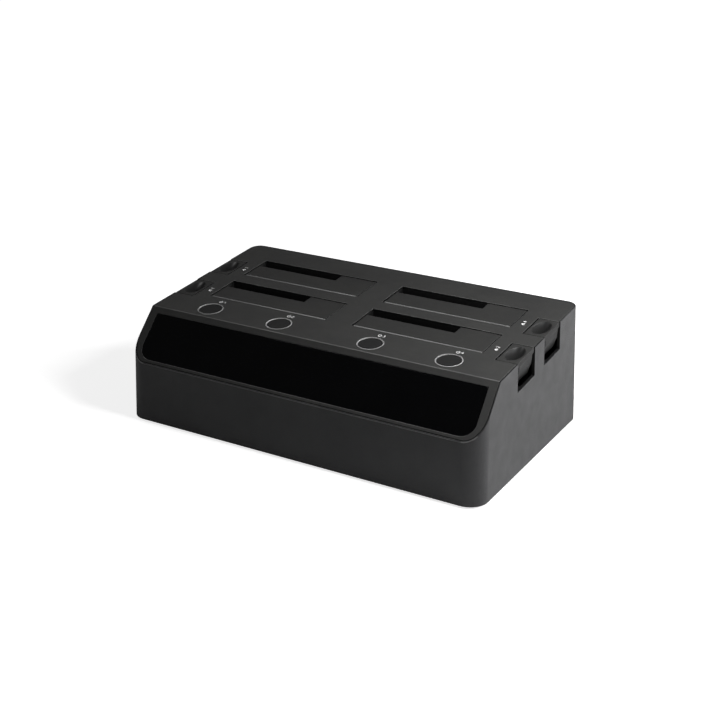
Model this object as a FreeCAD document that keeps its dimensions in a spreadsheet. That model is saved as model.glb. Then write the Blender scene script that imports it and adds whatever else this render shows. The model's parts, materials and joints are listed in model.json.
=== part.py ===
import FreeCAD, Part
import os
import re
import Sketcher

# Four-bay drive dock with 3.5 inch and 2.5 inch vertical bays.
# Frame: x to the right, y to the rear, z up, millimetres.
# The origin is on the resting surface, under the middle of the base.

# Driving dimensions. Heights called *_height are above the lower edge of the housing.
SIZES = {
    "side_margin": "31.45",
    "rear_margin": "29.83",
    "draft_angle": "2",
    "front_height": "45",
    "ridge_height": "79",
    "bezel_setback": "31",
    "deck_tilt": "5",
    "front_corner_radius": "14",
    "rear_corner_radius": "8.5",
    "ridge_radius": "1.2",
    "wall": "2.5",
    "cover_thickness": "1.8",
    "rim_lip": "0.8",
    "seam_gap": "0.35",
    "fit_gap": "0.3",
    "bore_gap": "0.05",
    "foot_rise": "1.5",
    "foot_radius": "6",
    "foot_recess": "0.8",
    "foot_inset": "18",
    "cut_overrun": "5",
    # bays
    "bay_width": "104",
    "bay_depth": "31.5",
    "bay_middle_gap": "21.6",
    "bay_front_offset": "32.8",
    "bay_row_pitch": "44.8",
    "notch_length": "72.1",
    "notch_depth": "10",
    "well_wall": "1.8",
    "well_floor": "2",
    "seat_height": "18.5",
    "leg_radius": "2.5",
    "leg_inset_x": "8",
    "leg_inset_y": "6",
    # drive sockets
    "socket_inset": "5.4",
    "socket_rear": "2",
    "socket_length": "42.7",
    "socket_width": "5.6",
    "socket_rise": "2.5",
    "socket_gap": "0.4",
    "key_end": "3",
    "data_key": "11.5",
    "key_gap": "2.5",
    "power_key": "22",
    "key_width": "1.6",
    "key_rear": "2",
    "key_depth": "5",
    # flaps
    "flap_sink": "0.4",
    "flap_gap": "0.4",
    "flap_thickness": "1.8",
    "barrel_radius": "2.2",
    "flap_pin_radius": "0.7",
    "flap_rib_height": "1.1",
    "flap_rib_width": "1.2",
    "flap_rib_end": "1",
    "spring_bay": "9",
    "spring_cover": "0.5",
    "spring_coil_radius": "1.65",
    "spring_wire": "0.5",
    "spring_leg": "7",
    # power buttons
    "button_offset": "13.05",
    "button_from_middle": "27.3",
    "button_from_end": "15.6",
    "ring_radius": "9.6",
    "ring_width": "0.7",
    "ring_length": "2.8",
    "cap_sink": "0.2",
    "button_flange": "1.6",
    "button_flange_thickness": "1",
    "button_travel": "1",
    "stem_radius": "2.2",
    "stem_length": "1.3",
    "plunger_radius": "1.4",
    "plunger_length": "2",
    "switch_size": "6.2",
    "switch_height": "3.4",
    "button_board_end": "12.8",
    "button_board_depth": "13",
    "board_thickness": "1.6",
    "post_radius": "2.2",
    "post_pilot_radius": "1",
    "post_skin": "1",
    # eject buttons and ejector arms
    "eject_width": "17.4",
    "eject_offset": "27",
    "eject_length": "28.1",
    "eject_gap": "0.4",
    "eject_drop": "20.4",
    "eject_edge": "0.5",
    "eject_sink": "0.1",
    "eject_pad": "3.4",
    "dish_half_width": "6.4",
    "dish_half_length": "10.9",
    "dish_depth": "2.1",
    "skirt_height": "17.5",
    "skirt_bend": "9",
    "skirt_bend_in": "0.9",
    "skirt_foot_in": "4.2",
    "skirt_thickness": "1.8",
    "skirt_round": "4",
    "skirt_bend_radius": "10",
    "rod_inset": "3.9",
    "rod_thickness": "2.4",
    "rod_width": "6",
    "arm_below_seat": "2.5",
    "arm_reach": "6.3",
    "arm_outer": "8.5",
    "arm_toe": "0.6",
    "arm_tip_low": "0.4",
    "arm_hub": "2",
    "arm_heel": "1.6",
    "arm_gap": "0.5",
    "arm_slot_height": "9",
    "arm_width": "5",
    "arm_barrel": "2.4",
    "arm_face": "1.5",
    "arm_pin_radius": "1",
    "cheek_thickness": "1.8",
    "cheek_length": "6",
    "shelf_drop": "26",
    "shelf_thickness": "2",
    "shelf_half_width": "8",
    "spring_stand_off": "4.3",
    "return_spring_radius": "2.4",
    "spring_wave": "0.5",
    # glossy front panel
    "gloss_top": "5.45",
    "gloss_bottom": "4.05",
    "gloss_side": "7.3",
    "gloss_corner": "10.2",
    "gloss_recess": "1",
    "gloss_thickness": "0.9",
    "gloss_gap": "0.15",
    # floor plate and main board
    "tray_thickness": "2.5",
    "board_height": "10.5",
    "board_side_overhang": "2.4",
    "board_front_overhang": "3.6",
    "board_rear_gap": "6.25",
    "standoff_radius": "3",
    "standoff_inset": "8",
    "vent_margin": "14.8",
    "vent_offset": "34",
    "vent_width": "3",
    "vent_length": "40",
    "boss_radius": "3.8",
    "boss_height": "26",
    "boss_inset": "23.75",
    "boss_stand_off": "0.6",
    "boss_rib": "2",
    "screw_radius": "1.4",
    "screw_head_radius": "2.7",
    "screw_head_height": "1.6",
    "head_sink": "0.1",
    "screw_length": "10",
    # rear wall
    "fan_size": "40",
    "fan_depth": "10",
    "fan_height": "52",
    "fan_bore": "19",
    "fan_tip": "18",
    "fan_hub": "8",
    "fan_shaft": "1",
    "fan_hole_offset": "16",
    "fan_motor_plate": "1.2",
    "fan_clearance": "1",
    "fan_blade": "0.9",
    "blade_rise": "2.6",
    "blade_margin": "0.4",
    "fan_strut": "2.4",
    "grille_slot": "2.2",
    "grille_pitch": "3.9",
    "grille_margin": "2.5",
    "port_edge": "10.8",
    "port_pitch": "32",
    "port_set_back": "0.6",
    "port_depth": "16",
    "port_gap": "0.3",
    "port_rim": "1.2",
    "port_mouth_depth": "9",
    "jack_width": "9",
    "jack_height": "11",
    "jack_bore": "3.2",
    "jack_pin": "1",
    "esata_width": "16.6",
    "esata_height": "7.6",
    "usb_width": "12.2",
    "usb_height": "11.4",
    "switch_inset": "20.25",
    "switch_height_up": "25",
    "switch_width": "12.4",
    "switch_tall": "19",
    "switch_depth": "12",
    "switch_flange": "0.8",
    "switch_flange_margin": "1.3",
    "rocker_half": "7",
    "rocker_width": "9.4",
    "rocker_gap": "0.8",
    "rocker_rise": "2.6",
    "rocker_middle": "1.5",
    "rocker_edge": "0.4",
    "rocker_depth": "2.8",
    "rocker_keel": "1.5",
    "rocker_rest": "8",
    "rocker_pivot_depth": "3.6",
    "rocker_pivot_radius": "0.9",
}

# Lengths that follow from the driving dimensions.
WORKED_OUT = {
    "bay_outer": "bay_middle_gap / 2 + bay_width",
    "base_width": "2 * (bay_outer + side_margin)",
    "base_depth": "front_height * tan(draft_angle * 1deg) + bezel_setback + bay_front_offset"
                  " + bay_row_pitch + bay_depth + rear_margin",
    "front_face_y": "-base_depth / 2",
    "front_top_y": "front_face_y + front_height * tan(draft_angle * 1deg)",
    "front_top_z": "foot_rise + front_height",
    "ridge_y": "front_top_y + bezel_setback",
    "ridge_z": "foot_rise + ridge_height",
    "bezel_rise": "ridge_height - front_height",
    "bezel_slope": "bezel_rise / bezel_setback",
    "bezel_length": "sqrt(bezel_rise ^ 2 + bezel_setback ^ 2)",
    "deck_slope": "tan(deck_tilt * 1deg)",
    "deck_half_width": "base_width / 2 - ridge_height * tan(draft_angle * 1deg)",
    "blank_height": "ridge_height + base_depth * deck_slope + cut_overrun",
    "tray_top": "foot_rise + tray_thickness",
    "board_bottom": "foot_rise + board_height",
    "board_top": "board_bottom + board_thickness",
    "seat_z": "foot_rise + seat_height",
    "rod_x": "deck_half_width - eject_width + rod_inset",
    "arm_pivot_x": "rod_x - arm_outer",
    "arm_pivot_z": "seat_z - arm_below_seat",
    "arm_inner": "arm_pivot_x - bay_outer + arm_reach",
    "return_spring_x": "rod_x + spring_stand_off",
    "shelf_reach": "return_spring_x + return_spring_radius",
    "flap_axis_inset": "fit_gap + barrel_radius",
    "button_v": "button_offset / cos(deck_tilt * 1deg)",
    "button_inner_x": "bay_middle_gap / 2 + button_from_middle",
    "button_outer_x": "bay_outer - button_from_end",
    "board_post_x": "(button_inner_x + button_outer_x) / 2",
    "board_half_width": "bay_outer + board_side_overhang",
    "board_front": "ridge_y + bay_front_offset - board_front_overhang",
    "board_rear": "base_depth / 2 - board_rear_gap",
    "vent_span": "2 * (bay_outer - vent_margin)",
    "boss_offset": "base_depth / 2 - boss_inset",
    "fan_x": "bay_width / 2",
    "switch_x": "switch_inset - base_width / 2",
    "boss_x": "base_width / 2 - wall - boss_radius - boss_stand_off",
    "cap_bottom": "ring_length + fit_gap",
    "flange_bottom": "cap_bottom + button_flange_thickness",
    "stem_bottom": "flange_bottom + stem_length",
    "switch_face": "stem_bottom + button_travel + fit_gap",
    "board_face": "switch_face + switch_height",
    "foot_x": "base_width / 2 - foot_inset",
    "foot_y": "base_depth / 2 - foot_inset",
}

doc = FreeCAD.newDocument("drive_dock")
sheet = doc.addObject("Spreadsheet::Sheet", "sizes")
for row, (alias, amount) in enumerate(SIZES.items(), start=1):
    sheet.set(f"A{row}", alias)
    sheet.set(f"B{row}", amount)
    sheet.setAlias(f"B{row}", alias)
doc.recompute()

nodes = []
pockets = []


# ---- expressions, sketches and features ----

def formula(text):
    """Turn a text of size names into an expression on the sheet's cells."""
    def swap(match):
        word = match.group(0)
        if word in SIZES:
            return "sizes." + word
        if word in WORKED_OUT:
            return "(" + formula(WORKED_OUT[word]) + ")"
        return word
    return re.sub(r"[a-z_][a-z_0-9]*", swap, str(text))


def number(text):
    """The present value of a text of size names."""
    result = sheet.evalExpression(formula(text))
    return float(getattr(result, "Value", result))


def deck_z(y):
    """Height of the tilted deck surface at y."""
    return f"(ridge_z + (({y}) - (ridge_y)) * deck_slope)"


def bind(thing, name, text):
    thing.setExpression(name, formula(text))


def place(thing, x="0", y="0", z="0", turn=None, axis=(1, 0, 0)):
    """Put an object at x, y, z, turned about one axis."""
    if turn is not None:
        thing.Placement = FreeCAD.Placement(
            FreeCAD.Vector(), FreeCAD.Rotation(FreeCAD.Vector(*axis), number(turn)))
        thing.setExpression("Placement.Rotation.Angle", f"({formula(turn)}) * 1deg")
    for name, text in (("x", x), ("y", y), ("z", z)):
        bind(thing, "Placement.Base." + name, text)


def new_body(label):
    body = doc.addObject("PartDesign::Body", label)
    body.Label = label
    return body


def sketch_on(body, role, offset="0"):
    """An empty sketch on one of the body's own origin planes, moved along its normal."""
    plane = [item for item in body.Origin.OriginFeatures if item.Role == role][0]
    sketch = body.newObject("Sketcher::SketchObject", body.Name + "_sketch")
    sketch.AttachmentSupport = [(plane, "")]
    sketch.MapMode = "FlatFace"
    bind(sketch, "AttachmentOffset.Base.z", offset)
    return sketch


def hold(sketch, kind, *where, text):
    """Add one dimension to a sketch and tie it to the sheet."""
    index = sketch.addConstraint(Sketcher.Constraint(kind, *where, number(text)))
    sketch.setExpression(f"Constraints[{index}]", formula(text))


def draw_polygon(sketch, corners):
    """A closed outline through corners given as pairs of size texts."""
    spots = [FreeCAD.Vector(number(u), number(v), 0) for u, v in corners]
    count = len(spots)
    lines = [sketch.addGeometry(Part.LineSegment(spots[i], spots[(i + 1) % count]))
             for i in range(count)]
    for i in range(count):
        sketch.addConstraint(Sketcher.Constraint("Coincident", lines[i], 2, lines[(i + 1) % count], 1))
    for line, (u, v) in zip(lines, corners):
        hold(sketch, "DistanceX", -1, 1, line, 1, text=u)
        hold(sketch, "DistanceY", -1, 1, line, 1, text=v)
    return sketch


def draw_rectangle(sketch, u0, u1, v0, v1):
    return draw_polygon(sketch, [(u0, v0), (u1, v0), (u1, v1), (u0, v1)])


def draw_circle(sketch, u, v, radius):
    centre = FreeCAD.Vector(number(u), number(v), 0)
    circle = sketch.addGeometry(Part.Circle(centre, FreeCAD.Vector(0, 0, 1), number(radius)))
    hold(sketch, "DistanceX", -1, 1, circle, 3, text=u)
    hold(sketch, "DistanceY", -1, 1, circle, 3, text=v)
    hold(sketch, "Radius", circle, text=radius)
    return sketch


def add_pad(body, sketch, length, both_ways=False, backwards=False, taper=None):
    pad = body.newObject("PartDesign::Pad", body.Name + "_pad")
    pad.Profile = sketch
    pad.Reversed = backwards
    pad.Midplane = both_ways
    bind(pad, "Length", length)
    if taper is not None:
        pad.setExpression("TaperAngle", f"({formula(taper)}) * 1deg")
    body.Tip = pad
    return pad


def add_pocket(body, sketch, length, both_ways=False, backwards=False):
    """Cut away: against the sketch's normal, or along it when backwards."""
    before = body.Tip
    pocket = body.newObject("PartDesign::Pocket", body.Name + "_pocket")
    pocket.Profile = sketch
    pocket.Reversed = backwards
    pocket.Midplane = both_ways
    bind(pocket, "Length", length)
    body.Tip = pocket
    pockets.append((before, pocket))
    return pocket


def edges_where(feature, test):
    """Names of the feature's edges whose two ends and middle pass the test."""
    names = []
    for index, edge in enumerate(feature.Shape.Edges, start=1):
        if test(edge):
            names.append(f"Edge{index}")
    return names


def add_fillet(body, test, radius):
    doc.recompute()
    base = body.Tip
    fillet = body.newObject("PartDesign::Fillet", body.Name + "_fillet")
    fillet.Base = (base, edges_where(base, test))
    bind(fillet, "Radius", radius)
    body.Tip = fillet
    return fillet


def upright(edge):
    """True for an edge that runs mainly along z."""
    way = edge.Vertexes[-1].Point - edge.Vertexes[0].Point
    return abs(way.z) > 0.9 * way.Length and way.Length > 0


def box(label, x0, x1, y0, y1, z0, z1):
    solid = doc.addObject("Part::Box", label)
    bind(solid, "Length", f"({x1}) - ({x0})")
    bind(solid, "Width", f"({y1}) - ({y0})")
    bind(solid, "Height", f"({z1}) - ({z0})")
    place(solid, x0, y0, z0)
    return solid


def cylinder(label, radius, height, x, y, z, turn=None, axis=(1, 0, 0)):
    solid = doc.addObject("Part::Cylinder", label)
    bind(solid, "Radius", radius)
    bind(solid, "Height", height)
    place(solid, x, y, z, turn, axis)
    return solid


def group(label, solids):
    bundle = doc.addObject("Part::Compound", label)
    bundle.Links = solids
    bundle.Label = label
    return bundle


def fuse(label, solids):
    whole = doc.addObject("Part::MultiFuse", label)
    whole.Shapes = solids
    whole.Refine = True
    whole.Label = label
    return whole


def common(label, first, second):
    shared = doc.addObject("Part::MultiCommon", label)
    shared.Shapes = [first, second]
    shared.Refine = True
    shared.Label = label
    return shared


def cut(label, base, tool):
    rest = doc.addObject("Part::Cut", label)
    rest.Base = base
    rest.Tool = tool
    rest.Refine = True
    rest.Label = label
    return rest


def finish(piece):
    """Record a finished piece of the dock."""
    nodes.append(piece)
    return piece


# ---- the outer form ----

def blank(label, inset):
    """The drafted housing block, its faces moved in by the inset, with round corners."""
    body = new_body(label)
    sketch = sketch_on(body, "XY_Plane", "foot_rise")
    half_width = f"(base_width / 2 - ({inset}))"
    half_depth = f"(base_depth / 2 - ({inset}))"
    draw_rectangle(sketch, f"-{half_width}", half_width, f"-{half_depth}", half_depth)
    add_pad(body, sketch, "blank_height", taper="-draft_angle")
    add_fillet(body, lambda edge: upright(edge) and edge.Vertexes[0].Y < 0,
               f"front_corner_radius - ({inset})")
    add_fillet(body, lambda edge: upright(edge) and edge.Vertexes[0].Y > 0 and edge.Vertexes[-1].Y > 0,
               f"rear_corner_radius - ({inset})")
    return body


def roof(label, drop, round_ridge=False):
    """All that lies under the bezel slope and the deck, both lowered squarely by the drop."""
    body = new_body(label)
    sketch = sketch_on(body, "YZ_Plane")
    front = "(front_face_y - cut_overrun)"
    rear = "(base_depth / 2 + cut_overrun)"
    slope_angle = "atan(bezel_slope)"
    tilt = "(deck_tilt * 1deg)"
    share = f"(({drop}) / (1 + cos({slope_angle} - {tilt})))"
    ridge_back = f"(ridge_y + {share} * (sin({slope_angle}) + sin{tilt}))"
    ridge_low = f"(ridge_z - {share} * (cos({slope_angle}) + cos{tilt}))"
    draw_polygon(sketch, [
        (front, "-cut_overrun"),
        (rear, "-cut_overrun"),
        (rear, f"{ridge_low} + ({rear} - {ridge_back}) * deck_slope"),
        (ridge_back, ridge_low),
        (front, f"{ridge_low} + ({front} - {ridge_back}) * bezel_slope"),
    ])
    add_pad(body, sketch, "base_width + 2 * cut_overrun", both_ways=True)
    if round_ridge:
        ridge = (number(ridge_back), number(ridge_low))
        add_fillet(body, lambda edge: all(
            abs(end.Y - ridge[0]) < 0.01 and abs(end.Z - ridge[1]) < 0.01 for end in edge.Vertexes),
            "ridge_radius")
    return body


def bay_left(column):
    """Left edge of a bay; column is 0 at the left and 1 at the right."""
    return "(bay_middle_gap / 2)" if column else "(-bay_middle_gap / 2 - bay_width)"


def bay_front(line):
    """Front edge of a bay; line is 0 for the front pair and 1 for the rear pair."""
    return f"(ridge_y + bay_front_offset + {line} * bay_row_pitch)"


def eject_front(line):
    return f"(ridge_y + eject_offset + {line} * bay_row_pitch)"


def mirrored(side, low, high):
    """The x range from low to high on the right side, or its mirror image on the left."""
    if side > 0:
        return f"({low})", f"({high})"
    return f"(-({high}))", f"(-({low}))"


BAYS = [(1, 0, 0), (2, 1, 0), (3, 0, 1), (4, 1, 1)]
BUTTON_X = ["-button_outer_x", "-button_inner_x", "button_inner_x", "button_outer_x"]

block = blank("block", "0")
cavity = blank("cavity", "wall")
rim = blank("rim", "rim_lip")
roof_top = roof("roof_top", "0", round_ridge=True)
roof_under = roof("roof_under", "cover_thickness")
eject_level = roof("eject_level", "eject_drop")


def eject_boxes(label, inner):
    """One tall box over each eject button, open at the outer side."""
    boxes = []
    for index, column, line in BAYS:
        side = 1 if column else -1
        x0, x1 = mirrored(side, inner, "base_width / 2 + cut_overrun")
        boxes.append(box(f"{label}_{index}", x0, x1, eject_front(line), f"{eject_front(line)} + eject_length",
                         "0", "blank_height + cut_overrun"))
    return fuse(label, boxes)


# ---- rear wall frame: origin on the outer face at the lower edge, leaning with the draft ----

def on_rear_wall(thing, x="0", height="0"):
    """Place a thing on the wall's outer face; its y points out of the wall and its z up the wall."""
    lean = "(draft_angle * 1deg)"
    place(thing, x, f"base_depth / 2 - ({height}) * sin{lean}", f"foot_rise + ({height}) * cos{lean}",
          turn="draft_angle")


def wall_prism(body, draw, inner, outer):
    """Pad a drawing on the rear wall from the depth inner to the depth outer, both behind the face."""
    sketch = sketch_on(body, "XZ_Plane", outer)
    draw(sketch)
    return add_pad(body, sketch, f"({inner}) - ({outer})"), sketch


PORTS = {
    # name: x of the middle, width, height above the board
    "dc_jack": ("(port_edge - bay_outer)", "jack_width", "jack_height"),
    "esata_port": ("(port_edge + 2 * port_pitch - bay_outer)", "esata_width", "esata_height"),
    "usb_port": ("(port_edge + port_pitch - bay_outer)", "usb_width", "usb_height"),
}


def rear_openings():
    """Cutters for the ports, the switch and the fan grilles in the rear wall."""
    cutters = []
    for name, (x, width, height) in PORTS.items():
        cutters.append(box(
            name + "_opening", f"{x} - {width} / 2 - port_gap", f"{x} + {width} / 2 + port_gap",
            "base_depth / 2 - 4 * wall", "base_depth / 2 + cut_overrun",
            "board_top - port_gap", f"board_top + {height} + port_gap"))
    for index, side in enumerate((-1, 1), start=1):
        grille = new_body(f"grille_cutter_{index}")
        first = "fan_height - 3 * grille_pitch"
        sketch = sketch_on(grille, "XZ_Plane")
        reach = "(fan_bore - grille_margin)"
        draw_rectangle(sketch, f"-{reach}", reach, f"{first} - grille_slot / 2", f"{first} + grille_slot / 2")
        slot = add_pad(grille, sketch, "4 * wall", both_ways=True)
        rows = grille.newObject("PartDesign::LinearPattern", f"grille_rows_{index}")
        rows.Originals = [slot]
        rows.Direction = (sketch, ["V_Axis"])
        rows.Occurrences = 7
        bind(rows, "Length", "6 * grille_pitch")
        grille.Tip = rows
        on_rear_wall(grille, f"{side} * fan_x")
        cutters.append(grille)
        holes = new_body(f"fan_hole_cutter_{index}")
        wall_prism(holes, lambda sketch: [
            draw_circle(sketch, f"{u} * fan_hole_offset", f"{v} * fan_hole_offset", "screw_radius + bore_gap")
            for u in (-1, 1) for v in (-1, 1)], "2 * wall", "-wall")
        on_rear_wall(holes, f"{side} * fan_x", "fan_height")
        cutters.append(holes)
    switch = new_body("switch_cutter")
    half = "(switch_width / 2 + port_gap)"
    tall = "(switch_tall / 2 + port_gap)"
    wall_prism(switch, lambda sketch: draw_rectangle(sketch, f"-{half}", half, f"-{tall}", tall),
               "2 * wall", "-wall")
    on_rear_wall(switch, "switch_x", "switch_height_up")
    return cutters + [switch]


def build_housing():
    """Outer walls in one moulding, rebated for the top cover and cut for ports and levers."""
    form = common("housing_form", block, roof_top)
    rebate = cut("housing_rebate", rim, roof_under)
    hollow = fuse("housing_hollow", [cavity, rebate])
    shell = cut("housing_walls", form, hollow)
    lever_cuts = cut("lever_cuts", eject_boxes("lever_boxes", "deck_half_width - eject_width / 2"), eject_level)
    bosses = []
    pilots = []
    for side in (-1, 1):
        for end in (-1, 1):
            x = f"{side} * boss_x"
            y = f"{end} * boss_offset"
            bosses.append(cylinder("boss", "boss_radius", "boss_height", x, y, "tray_top"))
            rib_x = mirrored(side, "boss_x", "base_width / 2")
            bosses.append(box("boss_web", *rib_x, f"{y} - boss_rib / 2", f"{y} + boss_rib / 2",
                              "tray_top", "tray_top + boss_height"))
            pilots.append(cylinder("pilot", "screw_radius + bore_gap", "screw_length + cut_overrun",
                                   x, y, "tray_top - cut_overrun"))
    bossed = fuse("bossed_walls", [shell, common("bosses", fuse("boss_set", bosses), block)])
    opened = cut("housing_with_lever_cuts", bossed, lever_cuts)
    pierced = cut("housing_with_ports", opened, fuse("rear_cutters", rear_openings()))
    return finish(cut("housing_shell", pierced, fuse("pilot_holes", pilots)))


# ---- deck frame: origin on the ridge, v back along the deck, w square to it ----

def on_deck(thing, x="0", v="0", w="0"):
    tilt = "(deck_tilt * 1deg)"
    place(thing, x, f"ridge_y + ({v}) * cos{tilt} - ({w}) * sin{tilt}",
          f"ridge_z + ({v}) * sin{tilt} + ({w}) * cos{tilt}", turn="deck_tilt")


def deck_disc(label, x, v, radius, low, high):
    """A cylinder square to the deck from depth low to depth high."""
    disc = doc.addObject("Part::Cylinder", label)
    bind(disc, "Radius", radius)
    bind(disc, "Height", f"({high}) - ({low})")
    on_deck(disc, x, v, low)
    return disc


def gloss_plate(label, grow, low, thickness):
    """A plate on the sloped bezel with sharp upper and round lower corners."""
    body = new_body(label)
    sketch = sketch_on(body, "XY_Plane", low)
    rise = "(bezel_rise / bezel_length)"
    top = f"(bezel_length - gloss_top + ({grow}))"
    bottom = f"(gloss_bottom - ({grow}))"

    def half(v):
        return (f"(base_width / 2 - (front_height + {v} * {rise}) * tan(draft_angle * 1deg)"
                f" - gloss_side + ({grow}))")

    draw_polygon(sketch, [(f"-{half(bottom)}", bottom), (half(bottom), bottom),
                          (half(top), top), (f"-{half(top)}", top)])
    add_pad(body, sketch, thickness)
    low_edge = number(bottom) + 1
    add_fillet(body, lambda edge: upright(edge) and edge.Vertexes[0].Y < low_edge,
               f"gloss_corner + ({grow})")
    place(body, "0", "front_top_y", "front_top_z", turn="atan(bezel_slope) / 1deg")
    return body


BOARD_POSTS = ["-board_post_x", "0", "board_post_x"]


def build_cover():
    """Deck and sloped bezel in one moulding, with the bay, button and lever openings."""
    lid = blank("lid", "rim_lip + seam_gap")
    skin = cut("cover_skin", common("cover_form", lid, roof_top), roof_under)
    posts = [deck_disc("board_post", x, "button_v", "post_radius", "-board_face", "-cover_thickness / 2")
             for x in BOARD_POSTS]
    bodied = fuse("cover_body", [skin] + posts)
    cutters = [eject_boxes("eject_openings", "deck_half_width - eject_width")]
    for index, column, line in BAYS:
        cutters.append(box(f"bay_opening_{index}", bay_left(column), f"{bay_left(column)} + bay_width",
                           bay_front(line), f"{bay_front(line)} + bay_depth",
                           "ridge_z - cut_overrun", "blank_height + cut_overrun"))
    for x in BUTTON_X:
        cutters.append(deck_disc("button_hole", x, "button_v", "ring_radius + bore_gap",
                                 "-cut_overrun", "cut_overrun"))
    for x in BOARD_POSTS:
        cutters.append(deck_disc("post_pilot", x, "button_v", "post_pilot_radius",
                                 "-board_face - cut_overrun", "-cover_thickness - post_skin"))
    cutters.append(gloss_plate("gloss_pocket", "gloss_gap", "-gloss_recess", "gloss_recess + cut_overrun"))
    return finish(cut("top_cover", bodied, fuse("cover_cutters", cutters)))


def build_buttons():
    """Round power buttons in light rings, over push switches on a strip board."""
    switches = []
    for index, x in enumerate(BUTTON_X, start=1):
        cap_radius = "ring_radius - ring_width - fit_gap"
        button = new_body(f"power_button_{index}")
        cap = sketch_on(button, "XY_Plane", "-cap_bottom - cap_sink")
        draw_circle(cap, "0", "0", cap_radius)
        add_pad(button, cap, "cap_bottom")
        flange = sketch_on(button, "XY_Plane", "-flange_bottom")
        draw_circle(flange, "0", "0", "ring_radius + button_flange")
        add_pad(button, flange, "button_flange_thickness")
        stem = sketch_on(button, "XY_Plane", "-stem_bottom")
        draw_circle(stem, "0", "0", "stem_radius")
        add_pad(button, stem, "stem_length")
        plunger = sketch_on(button, "XY_Plane", "-stem_bottom - plunger_length")
        draw_circle(plunger, "0", "0", "plunger_radius")
        add_pad(button, plunger, "plunger_length")
        on_deck(button, x, "button_v")
        finish(button)

        ring = new_body(f"light_ring_{index}")
        loop = sketch_on(ring, "XY_Plane", "-ring_length")
        draw_circle(loop, "0", "0", "ring_radius")
        draw_circle(loop, "0", "0", "ring_radius - ring_width")
        add_pad(ring, loop, "ring_length")
        on_deck(ring, x, "button_v")
        finish(ring)

        switch = new_body(f"push_switch_{index}")
        case = sketch_on(switch, "XY_Plane", "-board_face")
        half = "switch_size / 2"
        draw_rectangle(case, f"-{half}", half, f"-{half}", half)
        add_pad(switch, case, "switch_height")
        mouth = sketch_on(switch, "XY_Plane", "-switch_face")
        draw_circle(mouth, "0", "0", "plunger_radius + bore_gap")
        add_pocket(switch, mouth, "plunger_length + fit_gap")
        on_deck(switch, x, "button_v")
        switches.append(switch)
    finish(group("push_switches", switches))

    board = new_body("button_board")
    strip = sketch_on(board, "XY_Plane", "-board_face - board_thickness")
    reach = "(button_outer_x + button_board_end)"
    draw_rectangle(strip, f"-{reach}", reach, "-button_board_depth / 2", "button_board_depth / 2")
    for x in BOARD_POSTS:
        draw_circle(strip, x, "0", "post_pilot_radius + 2 * bore_gap")
    add_pad(board, strip, "board_thickness")
    on_deck(board, "0", "button_v")
    finish(board)


# ---- bays ----

def build_well(index, column, line):
    """One drive well: a square tube with a floor, a guide shelf and two legs."""
    side = 1 if column else -1
    x0 = bay_left(column)
    x1 = f"({x0} + bay_width)"
    y0 = bay_front(line)
    y1 = f"({y0} + bay_depth)"
    arm_y = f"({eject_front(line)} + eject_length / 2)"
    floor_low = "(seat_z - well_floor)"
    body = new_body(f"well_form_{index}")
    tube = sketch_on(body, "XY_Plane", floor_low)
    draw_rectangle(tube, f"{x0} - well_wall", f"{x1} + well_wall", f"{y0} - well_wall", f"{y1} + well_wall")
    add_pad(body, tube, "blank_height")
    shelf = sketch_on(body, "XY_Plane", f"{deck_z(y0)} - shelf_drop - shelf_thickness")
    a0, a1 = mirrored(side, "bay_outer + well_wall / 2", "shelf_reach")
    draw_rectangle(shelf, a0, a1, f"{arm_y} - shelf_half_width", f"{arm_y} + shelf_half_width")
    add_pad(body, shelf, "shelf_thickness")
    legs = sketch_on(body, "XY_Plane", "board_top")
    draw_circle(legs, f"{x0} + leg_inset_x", f"{y0} + leg_inset_y", "leg_radius")
    draw_circle(legs, f"{x1} - leg_inset_x", f"{y1} - leg_inset_y", "leg_radius")
    add_pad(body, legs, f"{floor_low} - board_top")
    hollow = sketch_on(body, "XY_Plane", "seat_z")
    draw_rectangle(hollow, x0, x1, y0, y1)
    add_pocket(body, hollow, "2 * blank_height", backwards=True)
    socket = sketch_on(body, "XY_Plane", "seat_z")
    draw_rectangle(socket, f"{x0} + socket_inset - socket_gap",
                   f"{x0} + socket_inset + socket_length + socket_gap",
                   f"{y1} - socket_rear - socket_width - socket_gap", f"{y1} - socket_rear + socket_gap")
    add_pocket(body, socket, "well_floor")
    slot = sketch_on(body, "XY_Plane", f"{floor_low} - arm_gap")
    b0, b1 = mirrored(side, "arm_pivot_x - arm_inner - 2 * arm_gap", "bay_outer + well_wall + arm_gap")
    draw_rectangle(slot, b0, b1, f"{arm_y} - arm_width / 2 - arm_gap", f"{arm_y} + arm_width / 2 + arm_gap")
    add_pocket(body, slot, "arm_slot_height", backwards=True)
    rod_hole = sketch_on(body, "XY_Plane", f"{deck_z(y0)} - shelf_drop")
    draw_rectangle(rod_hole, f"{side} * rod_x - rod_thickness / 2 - fit_gap",
                   f"{side} * rod_x + rod_thickness / 2 + fit_gap",
                   f"{arm_y} - rod_width / 2 - fit_gap", f"{arm_y} + rod_width / 2 + fit_gap")
    add_pocket(body, rod_hole, "shelf_thickness")
    axis_y, axis_z = flap_axis(line)
    seat = sketch_on(body, "YZ_Plane", f"{x0} + bay_width / 2")
    reach = "(flap_pin_radius + bore_gap)"
    draw_rectangle(seat, f"{axis_y} - {reach}", f"{axis_y} + {reach}", axis_z, "2 * blank_height")
    add_pocket(body, seat, "bay_width + 4 * well_wall", both_ways=True)
    saddle = sketch_on(body, "YZ_Plane", f"{x0} + bay_width / 2")
    draw_circle(saddle, axis_y, axis_z, reach)
    add_pocket(body, saddle, "bay_width + 4 * well_wall", both_ways=True)
    return finish(common(f"drive_well_{index}", body, roof_under))


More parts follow.
